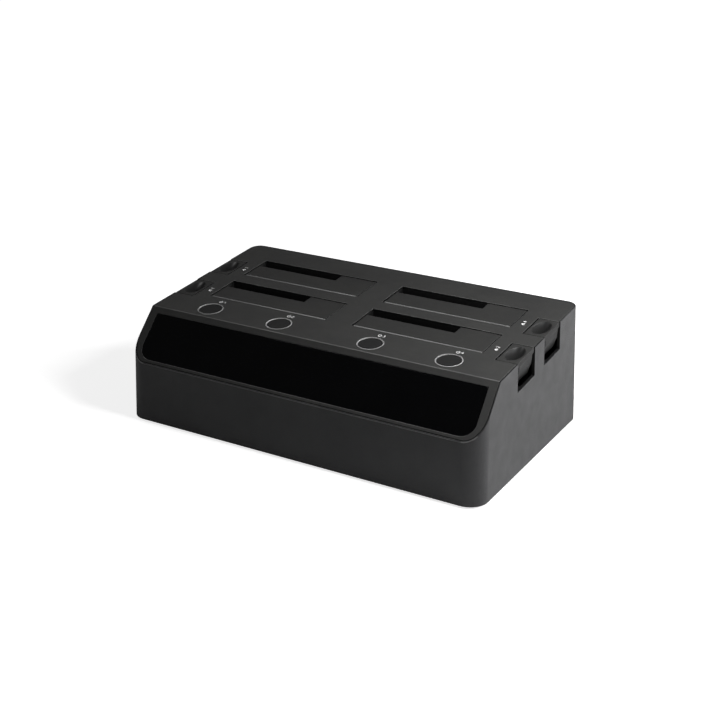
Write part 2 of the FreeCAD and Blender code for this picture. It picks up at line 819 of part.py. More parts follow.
def flap_axis(line):
    """Centre of the flap's hinge pin in y and z."""
    axis_y = f"({bay_front(line)} + flap_axis_inset)"
    axis_z = f"({deck_z(axis_y)} - (flap_sink + barrel_radius) / cos(deck_tilt * 1deg))"
    return axis_y, axis_z


def build_flap(index, column, line):
    """L-shaped door, hinged at its front edge; its cut-away corner leaves the 2.5 inch slot open."""
    axis_y, axis_z = flap_axis(line)
    half = "(bay_width / 2 - flap_gap)"
    length = "((bay_depth - flap_axis_inset - flap_gap) / cos(deck_tilt * 1deg))"
    notch_x = "(notch_length - bay_width / 2)"
    middle = f"({bay_left(column)} + bay_width / 2)"
    body = new_body(f"flap_{index}")
    plate = sketch_on(body, "XY_Plane", "barrel_radius - flap_thickness")
    draw_polygon(plate, [(f"-{half}", "0"), (half, "0"), (half, length), (notch_x, length),
                         (notch_x, f"{length} - notch_depth"), (f"-{half}", f"{length} - notch_depth")])
    add_pad(body, plate, "flap_thickness")
    barrel = sketch_on(body, "YZ_Plane")
    draw_circle(barrel, "0", "0", "barrel_radius")
    add_pad(body, barrel, f"2 * {half}", both_ways=True)
    ribs = sketch_on(body, "XY_Plane", "barrel_radius - flap_thickness")
    for share in ("-0.8", "-0.3", "0.3", "0.8"):
        x = f"({share} * {half})"
        draw_rectangle(ribs, f"{x} - flap_rib_width / 2", f"{x} + flap_rib_width / 2",
                       "barrel_radius / 2", f"{length} - notch_depth - flap_rib_end")
    add_pad(body, ribs, "flap_rib_height", backwards=True)
    bore = sketch_on(body, "YZ_Plane")
    draw_circle(bore, "0", "0", "flap_pin_radius + bore_gap")
    add_pocket(body, bore, f"3 * {half}", both_ways=True)
    gap = sketch_on(body, "XY_Plane", "barrel_radius - spring_cover")
    draw_rectangle(gap, "-spring_bay / 2", "spring_bay / 2", "-2 * barrel_radius", "barrel_radius + flap_gap")
    add_pocket(body, gap, "3 * barrel_radius")
    place(body, middle, axis_y, axis_z, turn="deck_tilt")
    finish(body)

    spring = new_body(f"flap_spring_{index}")
    coil = sketch_on(spring, "YZ_Plane")
    draw_circle(coil, "0", "0", "spring_coil_radius")
    draw_circle(coil, "0", "0", "spring_coil_radius - spring_wire")
    add_pad(spring, coil, "spring_bay - 2 * spring_wire", both_ways=True)
    leg = sketch_on(spring, "XY_Plane", "-spring_coil_radius / 2")
    draw_circle(leg, "spring_bay / 2 - 2 * spring_wire", "spring_wire / 2 - spring_coil_radius",
                "spring_wire / 2")
    add_pad(spring, leg, "spring_leg", backwards=True)
    place(spring, middle, axis_y, axis_z)
    finish(spring)
    pin = cylinder(f"flap_pin_{index}", "flap_pin_radius", "bay_width + 2 * well_wall",
                   f"{bay_left(column)} - well_wall", axis_y, axis_z, turn="90", axis=(0, 1, 0))
    return pin


def build_socket(index, column, line):
    """Combined data and power socket for one drive, standing on the main board."""
    x0 = f"({bay_left(column)} + socket_inset)"
    y1 = f"({bay_front(line)} + bay_depth - socket_rear)"
    body = new_body(f"drive_socket_{index}")
    case = sketch_on(body, "XY_Plane", "board_top")
    draw_rectangle(case, x0, f"{x0} + socket_length", f"{y1} - socket_width", y1)
    add_pad(body, case, "seat_z - board_top + socket_rise")
    keys = sketch_on(body, "XY_Plane", "seat_z + socket_rise")
    data_end = f"({x0} + key_end + data_key)"
    for low, high in ((f"{x0} + key_end", data_end),
                      (f"{data_end} + key_gap", f"{data_end} + key_gap + power_key")):
        draw_rectangle(keys, low, high, f"{y1} - key_rear - key_width", f"{y1} - key_rear")
    add_pocket(body, keys, "key_depth")
    return finish(body)


def build_skirt(index, side, line, top):
    """Side of an eject button: a wall that leans in below the deck, with round front and rear edges."""
    y0 = f"({eject_front(line)} + eject_gap)"
    y1 = f"({eject_front(line)} + eject_length - eject_gap)"
    arm_y = f"({eject_front(line)} + eject_length / 2)"
    surface = deck_z(arm_y)
    low = f"({surface} - skirt_height - eject_length * deck_slope)"
    high = f"({surface} + cut_overrun)"
    bend = f"({surface} - skirt_bend)"
    body = new_body(f"eject_skirt_{index}")

    def profile(sketch, outer, inner):
        corners = [(f"deck_half_width - {outer}", high), (f"deck_half_width - skirt_bend_in - {outer}", bend),
                   (f"deck_half_width - skirt_foot_in - {outer}", low),
                   (f"deck_half_width - skirt_foot_in - {inner}", low),
                   (f"deck_half_width - skirt_bend_in - {inner}", bend), (f"deck_half_width - {inner}", high)]
        draw_polygon(sketch, [(f"{side} * ({u})", v) for u, v in corners])

    slab = sketch_on(body, "XZ_Plane", f"-({y1})")
    profile(slab, "0", "2 * skirt_round")
    add_pad(body, slab, f"{y1} - ({y0})")
    outside = number("deck_half_width - skirt_bend_in")
    level = number(bend)
    add_fillet(body, lambda edge: all(
        abs(abs(end.X) - outside) < 0.01 and abs(end.Z - level) < 0.01 for end in edge.Vertexes),
        "skirt_bend_radius")
    near = number("deck_half_width - skirt_foot_in - skirt_round")
    add_fillet(body, lambda edge: len(edge.Vertexes) == 2
               and abs(edge.Vertexes[0].Y - edge.Vertexes[1].Y) < 0.01
               and abs(edge.Vertexes[0].Z - edge.Vertexes[1].Z) > 0.1
               and min(abs(end.X) for end in edge.Vertexes) > near, "skirt_round")
    inside = sketch_on(body, "XZ_Plane", f"-({y1})")
    profile(inside, "skirt_thickness", "3 * skirt_round")
    add_pocket(body, inside, f"{y1} - ({y0})", backwards=True)
    return common(f"eject_skirt_top_{index}", body, top)


def build_ejector(index, column, line, lid_edge, pad_top, pad_under, skirt_level):
    """Sliding eject button with a dished pad, skirt and push rod, its return spring, and the arm below."""
    side = 1 if column else -1
    y0 = f"({eject_front(line)} + eject_gap)"
    y1 = f"({eject_front(line)} + eject_length - eject_gap)"
    arm_y = f"({eject_front(line)} + eject_length / 2)"
    rod_x = f"({side} * rod_x)"
    inner = "deck_half_width - eject_width + eject_gap"
    x0, x1 = mirrored(side, inner, "base_width / 2 + cut_overrun")
    column_box = box(f"eject_column_{index}", x0, x1, y0, y1, "0", "blank_height + cut_overrun")
    top = common(f"eject_top_{index}", common(f"eject_plan_{index}", column_box, lid_edge), pad_top)
    pad = cut(f"eject_pad_{index}", top, pad_under)
    skirt = cut(f"eject_skirt_cut_{index}", build_skirt(index, side, line, top), skirt_level)
    rod = new_body(f"eject_rod_{index}")
    shape = sketch_on(rod, "XZ_Plane", f"-({arm_y})")
    tip_z = "(arm_pivot_z + arm_face + fit_gap + rod_thickness / 2)"
    draw_rectangle(shape, f"{rod_x} - rod_thickness / 2", f"{rod_x} + rod_thickness / 2",
                   tip_z, f"{deck_z(arm_y)} - eject_pad / 2")
    add_pad(rod, shape, "rod_width", both_ways=True)
    tip = sketch_on(rod, "XZ_Plane", f"-({arm_y})")
    draw_circle(tip, rod_x, tip_z, "rod_thickness / 2")
    add_pad(rod, tip, "rod_width", both_ways=True)
    whole = fuse(f"eject_form_{index}", [pad, skirt, rod])
    dish = doc.addObject("Part::Ellipsoid", f"eject_dish_{index}")
    bind(dish, "Radius1", "dish_depth")
    bind(dish, "Radius2", "dish_half_width")
    bind(dish, "Radius3", "dish_half_length")
    place(dish, f"{side} * (deck_half_width - eject_width / 2)", arm_y, deck_z(arm_y), turn="deck_tilt")
    finish(cut(f"eject_button_{index}", whole, dish))

    spring = new_body(f"eject_spring_{index}")
    wire = sketch_on(spring, "XZ_Plane")
    base = f"({deck_z(bay_front(line))} - shelf_drop)"
    height = (f"({deck_z(arm_y)} - (return_spring_radius + fit_gap) * deck_slope"
              f" - (eject_sink + eject_pad) / cos(deck_tilt * 1deg) - {base})")
    turns = 6
    outer = "return_spring_radius"
    inner_radius = "(return_spring_radius - spring_wire)"
    zigzag = []
    for step in range(2 * turns + 1):
        radius = outer if step % 2 else f"({outer} - spring_wave)"
        zigzag.append((radius, f"{height} * {step} / {2 * turns}"))
    for step in range(2 * turns, -1, -1):
        radius = inner_radius if step % 2 else f"({inner_radius} - spring_wave)"
        zigzag.append((radius, f"{height} * {step} / {2 * turns}"))
    draw_polygon(wire, zigzag)
    turned = spring.newObject("PartDesign::Revolution", f"eject_spring_turn_{index}")
    turned.Profile = wire
    turned.ReferenceAxis = (wire, ["V_Axis"])
    turned.Angle = 360
    spring.Tip = turned
    place(spring, f"{side} * return_spring_x", arm_y, base)
    finish(spring)

    arm = new_body(f"ejector_arm_{index}")
    lever = sketch_on(arm, "XZ_Plane")
    corners = [("-arm_inner", "arm_face + arm_toe"), ("-arm_inner", "arm_tip_low"),
               ("-arm_hub", "-arm_barrel * 0.7"), ("arm_hub", "-arm_barrel * 0.7"),
               ("arm_outer + arm_heel", "-arm_tip_low"), ("arm_outer + arm_heel", "arm_face"),
               ("arm_hub", "arm_face"), ("-arm_hub", "arm_face + arm_toe")]
    draw_polygon(lever, [(f"{side} * ({u})", v) for u, v in corners])
    add_pad(arm, lever, "arm_width", both_ways=True)
    barrel = sketch_on(arm, "XZ_Plane")
    draw_circle(barrel, "0", "0", "arm_barrel")
    add_pad(arm, barrel, "arm_width", both_ways=True)
    bore = sketch_on(arm, "XZ_Plane")
    draw_circle(bore, "0", "0", "arm_pin_radius + bore_gap")
    add_pocket(arm, bore, "2 * arm_width", both_ways=True)
    place(arm, f"{side} * arm_pivot_x", arm_y, "arm_pivot_z")
    finish(arm)
    half_pin = "(arm_width / 2 + fit_gap + cheek_thickness)"
    return cylinder(f"ejector_pin_{index}", "arm_pin_radius", f"2 * {half_pin}",
                    f"{side} * arm_pivot_x", f"{arm_y} + {half_pin}", "arm_pivot_z",
                    turn="90", axis=(1, 0, 0))


def build_tray():
    """Floor plate with board standoffs, ejector cheeks, vents, foot recesses and screw holes."""
    body = new_body("bottom_tray")
    plate = sketch_on(body, "XY_Plane", "foot_rise")
    half_width = "(base_width / 2 - wall - fit_gap)"
    half_depth = "(base_depth / 2 - wall - fit_gap)"
    draw_rectangle(plate, f"-{half_width}", half_width, f"-{half_depth}", half_depth)
    add_pad(body, plate, "tray_thickness", taper="-draft_angle")
    add_fillet(body, lambda edge: upright(edge) and edge.Vertexes[0].Y < 0,
               "front_corner_radius - wall - fit_gap")
    add_fillet(body, lambda edge: upright(edge) and edge.Vertexes[0].Y > 0 and edge.Vertexes[-1].Y > 0,
               "rear_corner_radius - wall - fit_gap")
    posts = sketch_on(body, "XY_Plane", "tray_top")
    for x in ("standoff_inset - board_half_width", "0", "board_half_width - standoff_inset"):
        for y in ("board_front + standoff_inset", "board_rear - standoff_inset"):
            draw_circle(posts, x, y, "standoff_radius")
    add_pad(body, posts, "board_bottom - tray_top")
    cheeks = sketch_on(body, "XY_Plane", "tray_top")
    for index, column, line in BAYS:
        side = 1 if column else -1
        arm_y = f"({eject_front(line)} + eject_length / 2)"
        a0, a1 = mirrored(side, "arm_pivot_x - cheek_length / 2", "arm_pivot_x + cheek_length / 2")
        near = "(arm_width / 2 + fit_gap)"
        draw_rectangle(cheeks, a0, a1, f"{arm_y} + {near}", f"{arm_y} + {near} + cheek_thickness")
        draw_rectangle(cheeks, a0, a1, f"{arm_y} - {near} - cheek_thickness", f"{arm_y} - {near}")
    add_pad(body, cheeks, "arm_pivot_z + 2 * arm_pin_radius + fit_gap - tray_top")
    bores = sketch_on(body, "XZ_Plane")
    for side in (-1, 1):
        draw_circle(bores, f"{side} * arm_pivot_x", "arm_pivot_z", "arm_pin_radius + bore_gap")
    add_pocket(body, bores, "base_depth", both_ways=True)
    vent = sketch_on(body, "XY_Plane", "tray_top")
    draw_rectangle(vent, "-vent_span / 2", "vent_width - vent_span / 2",
                   "board_front + vent_offset", "board_front + vent_offset + vent_length")
    slot = add_pocket(body, vent, "2 * tray_thickness")
    vents = body.newObject("PartDesign::LinearPattern", "vents")
    vents.Originals = [slot]
    vents.Direction = (vent, ["H_Axis"])
    bind(vents, "Length", "vent_span - vent_width")
    vents.Occurrences = 21
    body.Tip = vents
    feet = sketch_on(body, "XY_Plane", "foot_rise")
    for side in (-1, 1):
        for end in (-1, 1):
            draw_circle(feet, f"{side} * foot_x", f"{end} * foot_y", "foot_radius + fit_gap")
    add_pocket(body, feet, "foot_recess", backwards=True)
    holes = sketch_on(body, "XY_Plane", "foot_rise")
    sinks = sketch_on(body, "XY_Plane", "foot_rise")
    for side in (-1, 1):
        for end in (-1, 1):
            draw_circle(holes, f"{side} * boss_x", f"{end} * boss_offset", "screw_radius + bore_gap")
            draw_circle(sinks, f"{side} * boss_x", f"{end} * boss_offset", "screw_head_radius + fit_gap")
    add_pocket(body, holes, "2 * tray_thickness", backwards=True)
    add_pocket(body, sinks, "screw_head_height", backwards=True)
    return finish(body)


def build_fasteners():
    feet = []
    screws = []
    for side in (-1, 1):
        for end in (-1, 1):
            feet.append(cylinder("foot", "foot_radius", "foot_rise + foot_recess",
                                 f"{side} * foot_x", f"{end} * foot_y", "0"))
            x = f"{side} * boss_x"
            y = f"{end} * boss_offset"
            head = cylinder("head", "screw_head_radius", "screw_head_height - head_sink",
                            x, y, "foot_rise + head_sink")
            shank = cylinder("shank", "screw_radius", "screw_length", x, y, "foot_rise + screw_head_height")
            screws.append(fuse("case_screw", [head, shank]))
    finish(group("feet", feet))
    finish(group("case_screws", screws))


def build_main_board():
    body = new_body("main_board")
    plan = sketch_on(body, "XY_Plane", "board_bottom")
    draw_rectangle(plan, "-board_half_width", "board_half_width", "board_front", "board_rear")
    add_pad(body, plan, "board_thickness")
    return finish(body)


def build_ports():
    """Sockets on the main board that look out through the rear wall."""
    face = "(base_depth / 2 - (board_top - foot_rise) * tan(draft_angle * 1deg) - port_set_back)"
    for name, (x, width, height) in PORTS.items():
        body = new_body(name)
        case = sketch_on(body, "XZ_Plane", f"-({face})")
        draw_rectangle(case, f"{x} - {width} / 2", f"{x} + {width} / 2", "board_top", f"board_top + {height}")
        add_pad(body, case, "port_depth")
        mouth = sketch_on(body, "XZ_Plane", f"-({face})")
        middle = f"(board_top + {height} / 2)"
        if name == "dc_jack":
            draw_circle(mouth, x, middle, "jack_bore")
            draw_circle(mouth, x, middle, "jack_pin")
        else:
            draw_rectangle(mouth, f"{x} - {width} / 2 + port_rim", f"{x} + {width} / 2 - port_rim",
                           "board_top + port_rim", f"board_top + {height} - port_rim")
        add_pocket(body, mouth, "port_mouth_depth", backwards=True)
        finish(body)


def build_fans():
    """Two small fans behind the rear grilles: a square frame with a motor plate, and a bladed rotor."""
    screws = []
    for index, side in enumerate((-1, 1), start=1):
        x = f"{side} * fan_x"
        inner = "(wall + fan_depth)"
        frame = new_body(f"fan_frame_{index}")

        def draw_frame(sketch):
            draw_rectangle(sketch, "-fan_size / 2", "fan_size / 2", "-fan_size / 2", "fan_size / 2")
            draw_circle(sketch, "0", "0", "fan_bore")
            for u in (-1, 1):
                for v in (-1, 1):
                    draw_circle(sketch, f"{u} * fan_hole_offset", f"{v} * fan_hole_offset",
                                "screw_radius + bore_gap")

        wall_prism(frame, draw_frame, inner, "wall")
        plate = f"({inner} - fan_motor_plate)"
        wall_prism(frame, lambda sketch: draw_circle(sketch, "0", "0", "fan_hub"), inner, plate)
        wall_prism(frame, lambda sketch: draw_rectangle(
            sketch, "-fan_size / 2", "fan_size / 2", "-fan_strut / 2", "fan_strut / 2"), inner, plate)
        wall_prism(frame, lambda sketch: draw_rectangle(
            sketch, "-fan_strut / 2", "fan_strut / 2", "-fan_size / 2", "fan_size / 2"), inner, plate)
        bore = sketch_on(frame, "XZ_Plane", "wall")
        draw_circle(bore, "0", "0", "fan_shaft + bore_gap")
        add_pocket(frame, bore, "2 * fan_depth", backwards=True)
        on_rear_wall(frame, x, "fan_height")
        finish(frame)

        rotor = new_body(f"fan_rotor_{index}")
        hub_face = "(wall + fan_clearance)"
        hub_back = f"({plate} - fan_clearance)"
        wall_prism(rotor, lambda sketch: draw_circle(sketch, "0", "0", "fan_hub"), hub_back, hub_face)
        turn_axis = wall_prism(rotor, lambda sketch: draw_circle(sketch, "0", "0", "fan_shaft"),
                               inner, hub_back)[1]
        blade = sketch_on(rotor, "YZ_Plane", "fan_hub * 0.9")
        draw_polygon(blade, [(f"-{hub_face} - blade_margin", "blade_rise"),
                             (f"-{hub_face} - blade_margin", "blade_rise - fan_blade * 1.3"),
                             (f"-{hub_back} + blade_margin", "-blade_rise"),
                             (f"-{hub_back} + blade_margin", "fan_blade * 1.3 - blade_rise")])
        vane = add_pad(rotor, blade, "fan_tip - fan_hub * 0.9")
        fanned = rotor.newObject("PartDesign::PolarPattern", f"fan_vanes_{index}")
        fanned.Originals = [vane]
        fanned.Axis = (turn_axis, ["N_Axis"])
        fanned.Angle = 360
        fanned.Occurrences = 7
        rotor.Tip = fanned
        on_rear_wall(rotor, x, "fan_height")
        finish(rotor)

        for u in (-1, 1):
            for v in (-1, 1):
                screw = new_body("fan_screw")
                spot = (f"{u} * fan_hole_offset", f"{v} * fan_hole_offset")
                wall_prism(screw, lambda sketch: draw_circle(sketch, *spot, "screw_head_radius"),
                           "0", "-screw_head_height / 2")
                wall_prism(screw, lambda sketch: draw_circle(sketch, *spot, "screw_radius"),
                           "screw_length", "0")
                on_rear_wall(screw, x, "fan_height")
                screws.append(screw)
    finish(group("fan_screws", screws))


def build_switch():
    """Rocker power switch let into the rear wall."""
    case = new_body("power_switch")
    wide = "(switch_width / 2 + switch_flange_margin)"
    tall = "(switch_tall / 2 + switch_flange_margin)"
    wall_prism(case, lambda sketch: draw_rectangle(
        sketch, "-switch_width / 2", "switch_width / 2", "-switch_tall / 2", "switch_tall / 2"),
        "switch_depth", "0")
    wall_prism(case, lambda sketch: draw_rectangle(sketch, f"-{wide}", wide, f"-{tall}", tall),
               "0", "-switch_flange")
    mouth = sketch_on(case, "XZ_Plane", "-switch_flange")
    half = "(rocker_width / 2 + fit_gap)"
    reach = "(rocker_half + rocker_gap)"
    draw_rectangle(mouth, f"-{half}", half, f"-{reach}", reach)
    add_pocket(case, mouth, "switch_flange + 2 * rocker_pivot_depth", backwards=True)
    pivot = sketch_on(case, "YZ_Plane")
    draw_circle(pivot, "-rocker_pivot_depth", "0", "rocker_pivot_radius + bore_gap")
    add_pocket(case, pivot, "2 * switch_width", both_ways=True)
    on_rear_wall(case, "switch_x", "switch_height_up")
    finish(case)

    rocker = new_body("switch_rocker")
    side = sketch_on(rocker, "YZ_Plane")
    draw_polygon(side, [("rocker_rise", "-rocker_half"), ("rocker_middle", "0"), ("rocker_rise", "rocker_half"),
                        ("-rocker_edge", "rocker_half"), ("-rocker_depth", "rocker_keel"),
                        ("-rocker_depth", "-rocker_keel"), ("-rocker_edge", "-rocker_half")])
    add_pad(rocker, side, "rocker_width", both_ways=True)
    stub = sketch_on(rocker, "YZ_Plane")
    draw_circle(stub, "0", "0", "rocker_pivot_radius")
    add_pad(rocker, stub, "switch_width - fit_gap", both_ways=True)
    lean = "(draft_angle * 1deg)"
    place(rocker, "switch_x",
          f"base_depth / 2 - switch_height_up * sin{lean} - rocker_pivot_depth * cos{lean}",
          f"foot_rise + switch_height_up * cos{lean} - rocker_pivot_depth * sin{lean}",
          turn="draft_angle - rocker_rest")
    finish(rocker)


build_cover()
build_housing()
build_tray()
finish(gloss_plate("gloss_panel", "0", "-gloss_recess", "gloss_thickness"))
build_main_board()
build_buttons()
flap_pins = []
arm_pins = []
lid_edge = blank("lever_edge", "eject_edge")
pad_top = roof("pad_top", "eject_sink")
pad_under = roof("pad_under", "eject_sink + eject_pad")
skirt_level = roof("skirt_level", "skirt_height")
for index, column, line in BAYS:
    build_well(index, column, line)
    build_socket(index, column, line)
    flap_pins.append(build_flap(index, column, line))
    arm_pins.append(build_ejector(index, column, line, lid_edge, pad_top, pad_under, skirt_level))
finish(group("flap_pins", flap_pins))
finish(group("ejector_pins", arm_pins))
build_fasteners()
build_ports()
build_fans()
build_switch()

doc.recompute()
broken = [item.Label for item in doc.Objects if "Invalid" in item.State or "Error" in item.State]
if broken:
    raise RuntimeError(f"failed objects: {broken}")
for before, pocket in pockets:
    if not pocket.Shape.Volume < before.Shape.Volume - 0.01:
        raise RuntimeError(f"{pocket.Label} cuts nothing")
for piece in nodes:
    if piece.Shape.isNull() or not piece.Shape.isValid():
        raise RuntimeError(f"{piece.Label} has no valid shape")
os.makedirs("parts", exist_ok=True)
for piece in nodes:
    piece.Shape.exportStep(f"parts/{piece.Label}.step")
    print(f"{piece.Label}: {len(piece.Shape.Solids)} solid, {piece.Shape.Volume / 1000:.2f} cm3")
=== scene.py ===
import json
import math
from math import cos, pi, radians, sin

import bmesh
import bpy
from mathutils import Matrix, Vector
from mathutils.bvhtree import BVHTree

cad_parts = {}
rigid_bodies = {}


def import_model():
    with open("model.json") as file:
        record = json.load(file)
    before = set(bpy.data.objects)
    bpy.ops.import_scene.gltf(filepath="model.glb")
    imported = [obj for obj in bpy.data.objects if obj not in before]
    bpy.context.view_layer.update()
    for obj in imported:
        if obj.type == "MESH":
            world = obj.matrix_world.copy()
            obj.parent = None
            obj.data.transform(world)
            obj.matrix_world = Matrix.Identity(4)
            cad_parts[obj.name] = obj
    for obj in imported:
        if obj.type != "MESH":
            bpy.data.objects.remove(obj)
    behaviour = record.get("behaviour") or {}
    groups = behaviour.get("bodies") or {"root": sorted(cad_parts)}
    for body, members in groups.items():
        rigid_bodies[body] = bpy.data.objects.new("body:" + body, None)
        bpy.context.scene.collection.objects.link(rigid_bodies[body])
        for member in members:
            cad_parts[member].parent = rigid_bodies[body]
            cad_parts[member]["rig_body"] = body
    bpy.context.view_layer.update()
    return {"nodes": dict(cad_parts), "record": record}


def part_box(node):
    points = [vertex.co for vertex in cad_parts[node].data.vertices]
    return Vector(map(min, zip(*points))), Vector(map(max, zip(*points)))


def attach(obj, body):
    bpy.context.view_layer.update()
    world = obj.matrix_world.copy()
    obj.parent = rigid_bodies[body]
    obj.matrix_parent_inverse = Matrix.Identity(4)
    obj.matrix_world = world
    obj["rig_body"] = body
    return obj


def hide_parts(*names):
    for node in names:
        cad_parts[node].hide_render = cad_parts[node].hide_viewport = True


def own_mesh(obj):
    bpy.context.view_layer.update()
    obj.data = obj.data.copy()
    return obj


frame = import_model()
NODES = frame["nodes"]
BAYS = (1, 2, 3, 4)
MM = 0.001

# ---------------------------------------------------------------- shader helpers


class Shader:
    """A short way to write a node material."""

    def __init__(self, name):
        self.material = bpy.data.materials.new(name)
        self.material.use_nodes = True
        self.tree = self.material.node_tree
        self.bsdf = self.tree.nodes["Principled BSDF"]
        self.where = self.tree.nodes.new("ShaderNodeTexCoord").outputs["Object"]

    def node(self, kind, **inputs):
        made = self.tree.nodes.new(kind)
        for key, value in inputs.items():
            self.feed(made.inputs[key.replace("_", " ")], value)
        return made

    def feed(self, socket, value):
        if isinstance(value, bpy.types.NodeSocket):
            self.tree.links.new(value, socket)
        else:
            socket.default_value = value

    def noise(self, scale, detail=2.0, rough=0.5, distortion=0.0, where=None):
        made = self.node("ShaderNodeTexNoise", Vector=where or self.where, Scale=scale, Detail=detail,
                         Roughness=rough, Distortion=distortion)
        return made.outputs["Fac"]

    def cells(self, scale, feature="F1"):
        made = self.node("ShaderNodeTexVoronoi", Vector=self.where, Scale=scale)
        made.feature = feature
        return made.outputs["Distance"]

    def spread(self, value, low, high, at_low=0.0, at_high=1.0):
        made = self.node("ShaderNodeMapRange", Value=value)
        made.inputs["From Min"].default_value = low
        made.inputs["From Max"].default_value = high
        made.inputs["To Min"].default_value = at_low
        made.inputs["To Max"].default_value = at_high
        return made.outputs["Result"]

    def shades(self, value, dark, pale, low=0.3, high=0.7):
        made = self.node("ShaderNodeValToRGB", Fac=value)
        stops = made.color_ramp.elements
        stops[0].position, stops[0].color = low, (*dark, 1.0)
        stops[1].position, stops[1].color = high, (*pale, 1.0)
        return made.outputs["Color"]

    def mix(self, share, first, second):
        made = self.tree.nodes.new("ShaderNodeMix")
        made.data_type = "RGBA"
        self.feed(made.inputs[0], share)
        self.feed(made.inputs[6], first)
        self.feed(made.inputs[7], second)
        return made.outputs[2]

    def math(self, operation, first, second=0.0):
        made = self.tree.nodes.new("ShaderNodeMath")
        made.operation = operation
        self.feed(made.inputs[0], first)
        self.feed(made.inputs[1], second)
        return made.outputs[0]

    def bump(self, height, strength, depth, under=None):
        made = self.node("ShaderNodeBump", Height=height, Strength=strength, Distance=depth)
        if under is not None:
            self.feed(made.inputs["Normal"], under)
        return made.outputs["Normal"]

    def set(self, **inputs):
        for key, value in inputs.items():
            self.feed(self.bsdf.inputs[key.replace("_", " ")], value)
        return self.material


def moulded(name, dark, pale, rough, grain=0.00012, scale=2600.0, specular=0.5):
    """Moulded plastic with a fine eroded texture, and faint drifts of shade and gloss."""
    s = Shader(name)
    drift = s.noise(38.0, detail=3.0)
    speckle = s.noise(scale, detail=2.0, rough=0.6)
    colour = s.mix(s.spread(speckle, 0.35, 0.65, 0.0, 0.35),
                   s.shades(drift, dark, pale), (*[min(1.0, c * 1.6) for c in pale], 1.0))
    gloss = s.spread(s.noise(90.0, detail=4.0), 0.3, 0.7, rough - 0.04, rough + 0.05)
    relief = s.bump(speckle, 0.55, grain)
    return s.set(Base_Color=colour, Roughness=gloss, Normal=relief, Specular_IOR_Level=specular)


def polished(name, dark, pale, rough, specular=0.5):
    """Polished plastic: even colour, a faint moulding wave and slight smears in the gloss."""
    s = Shader(name)
    colour = s.shades(s.noise(30.0, detail=2.0), dark, pale)
    smear = s.spread(s.noise(55.0, detail=5.0, distortion=1.5), 0.45, 0.75, rough, rough + 0.05)
    wave = s.bump(s.noise(45.0, detail=1.0), 0.08, 0.0002)
    return s.set(Base_Color=colour, Roughness=smear, Normal=wave, Specular_IOR_Level=specular)


def metal(name, dark, pale, rough, along=(1.0, 1.0, 1.0), scale=900.0):
    """Bright metal with fine drawn or rolled lines."""
    s = Shader(name)
    stretched = s.node("ShaderNodeMapping", Vector=s.where)
    stretched.inputs["Scale"].default_value = along
    lines = s.noise(scale, detail=3.0, where=stretched.outputs["Vector"])
    colour = s.shades(lines, dark, pale)
    gloss = s.spread(lines, 0.3, 0.7, rough - 0.05, rough + 0.08)
    return s.set(Base_Color=colour, Roughness=gloss, Metallic=1.0, Normal=s.bump(lines, 0.25, 0.00002))


def laminate(name):
    """Green board: solder mask over a faint weave and copper runs."""
    s = Shader(name)
    runs = s.spread(s.cells(160.0, "DISTANCE_TO_EDGE"), 0.02, 0.07)
    mask = s.shades(s.noise(200.0), (0.006, 0.055, 0.028), (0.009, 0.07, 0.034))
    return s.set(Base_Color=s.mix(runs, (0.012, 0.11, 0.05, 1.0), mask),
                 Roughness=s.spread(s.noise(300.0), 0.3, 0.7, 0.28, 0.4),
                 Normal=s.bump(runs, 0.3, 0.00003))


def rubber(name):
    """Matt rubber with a fine grain."""
    s = Shader(name)
    grain = s.noise(1800.0, detail=3.0)
    return s.set(Base_Color=s.shades(grain, (0.012, 0.012, 0.013), (0.022, 0.022, 0.024)),
                 Roughness=s.spread(grain, 0.3, 0.7, 0.75, 0.9), Normal=s.bump(grain, 0.5, 0.00008))


def printed(name, pale):
    """Pad-printed ink: near white, slightly broken by the grain of the plastic under it."""
    s = Shader(name)
    specks = s.noise(4200.0, detail=2.0)
    colour = s.shades(specks, tuple(0.75 * c for c in pale), pale, 0.25, 0.5)
    return s.set(Base_Color=colour, Roughness=s.spread(specks, 0.3, 0.7, 0.45, 0.6),
                 Normal=s.bump(specks, 0.3, 0.00002))


HOUSING = moulded("housing_texture", (0.0215, 0.0215, 0.0225), (0.0265, 0.0265, 0.0277), 0.50, specular=0.25)
COVER = moulded("cover_texture", (0.030, 0.030, 0.030), (0.036, 0.036, 0.035), 0.43, specular=0.25)
FLAP = moulded("flap_texture", (0.025, 0.025, 0.025), (0.030, 0.030, 0.029), 0.43, specular=0.25)
# Inside the drive wells: near black, far darker than the case's plastic, as painted shade deep in the bays.
WELL_SHADE = moulded("well_texture", (0.0045, 0.0045, 0.0045), (0.0065, 0.0065, 0.0065), 0.6, specular=0.2)
BUTTON = moulded("button_satin", (0.026, 0.026, 0.026), (0.031, 0.031, 0.030), 0.42, grain=0.00006, specular=0.25)
# Finger dishes: far darker than the buttons' plastic, as painted shade in the hollow.
DISH_SHADE = moulded("dish_satin", (0.007, 0.007, 0.007), (0.010, 0.010, 0.010), 0.34, grain=0.00002, specular=0.6)
# Light grey for narrow roundings along front edges: painted highlight lines.
EDGE_HIGHLIGHT = moulded("worn_edge", (0.055, 0.055, 0.055), (0.12, 0.12, 0.119), 0.34, grain=0.00002, specular=0.5)
# Near black for the inner walls of openings and windows: painted shade in the gaps.
PAINTED_SHADE = moulded("inner_edges", (0.004, 0.004, 0.004), (0.006, 0.006, 0.006), 0.6, specular=0.1)
CAP = moulded("cap_satin", (0.013, 0.013, 0.013), (0.017, 0.017, 0.017), 0.45, grain=0.00006, specular=0.25)
GLOSS = polished("gloss_black", (0.0005, 0.0006, 0.0008), (0.0009, 0.0010, 0.0013), 0.05)
RING = polished("ring_light_guide", (0.28, 0.28, 0.28), (0.40, 0.40, 0.40), 0.18)
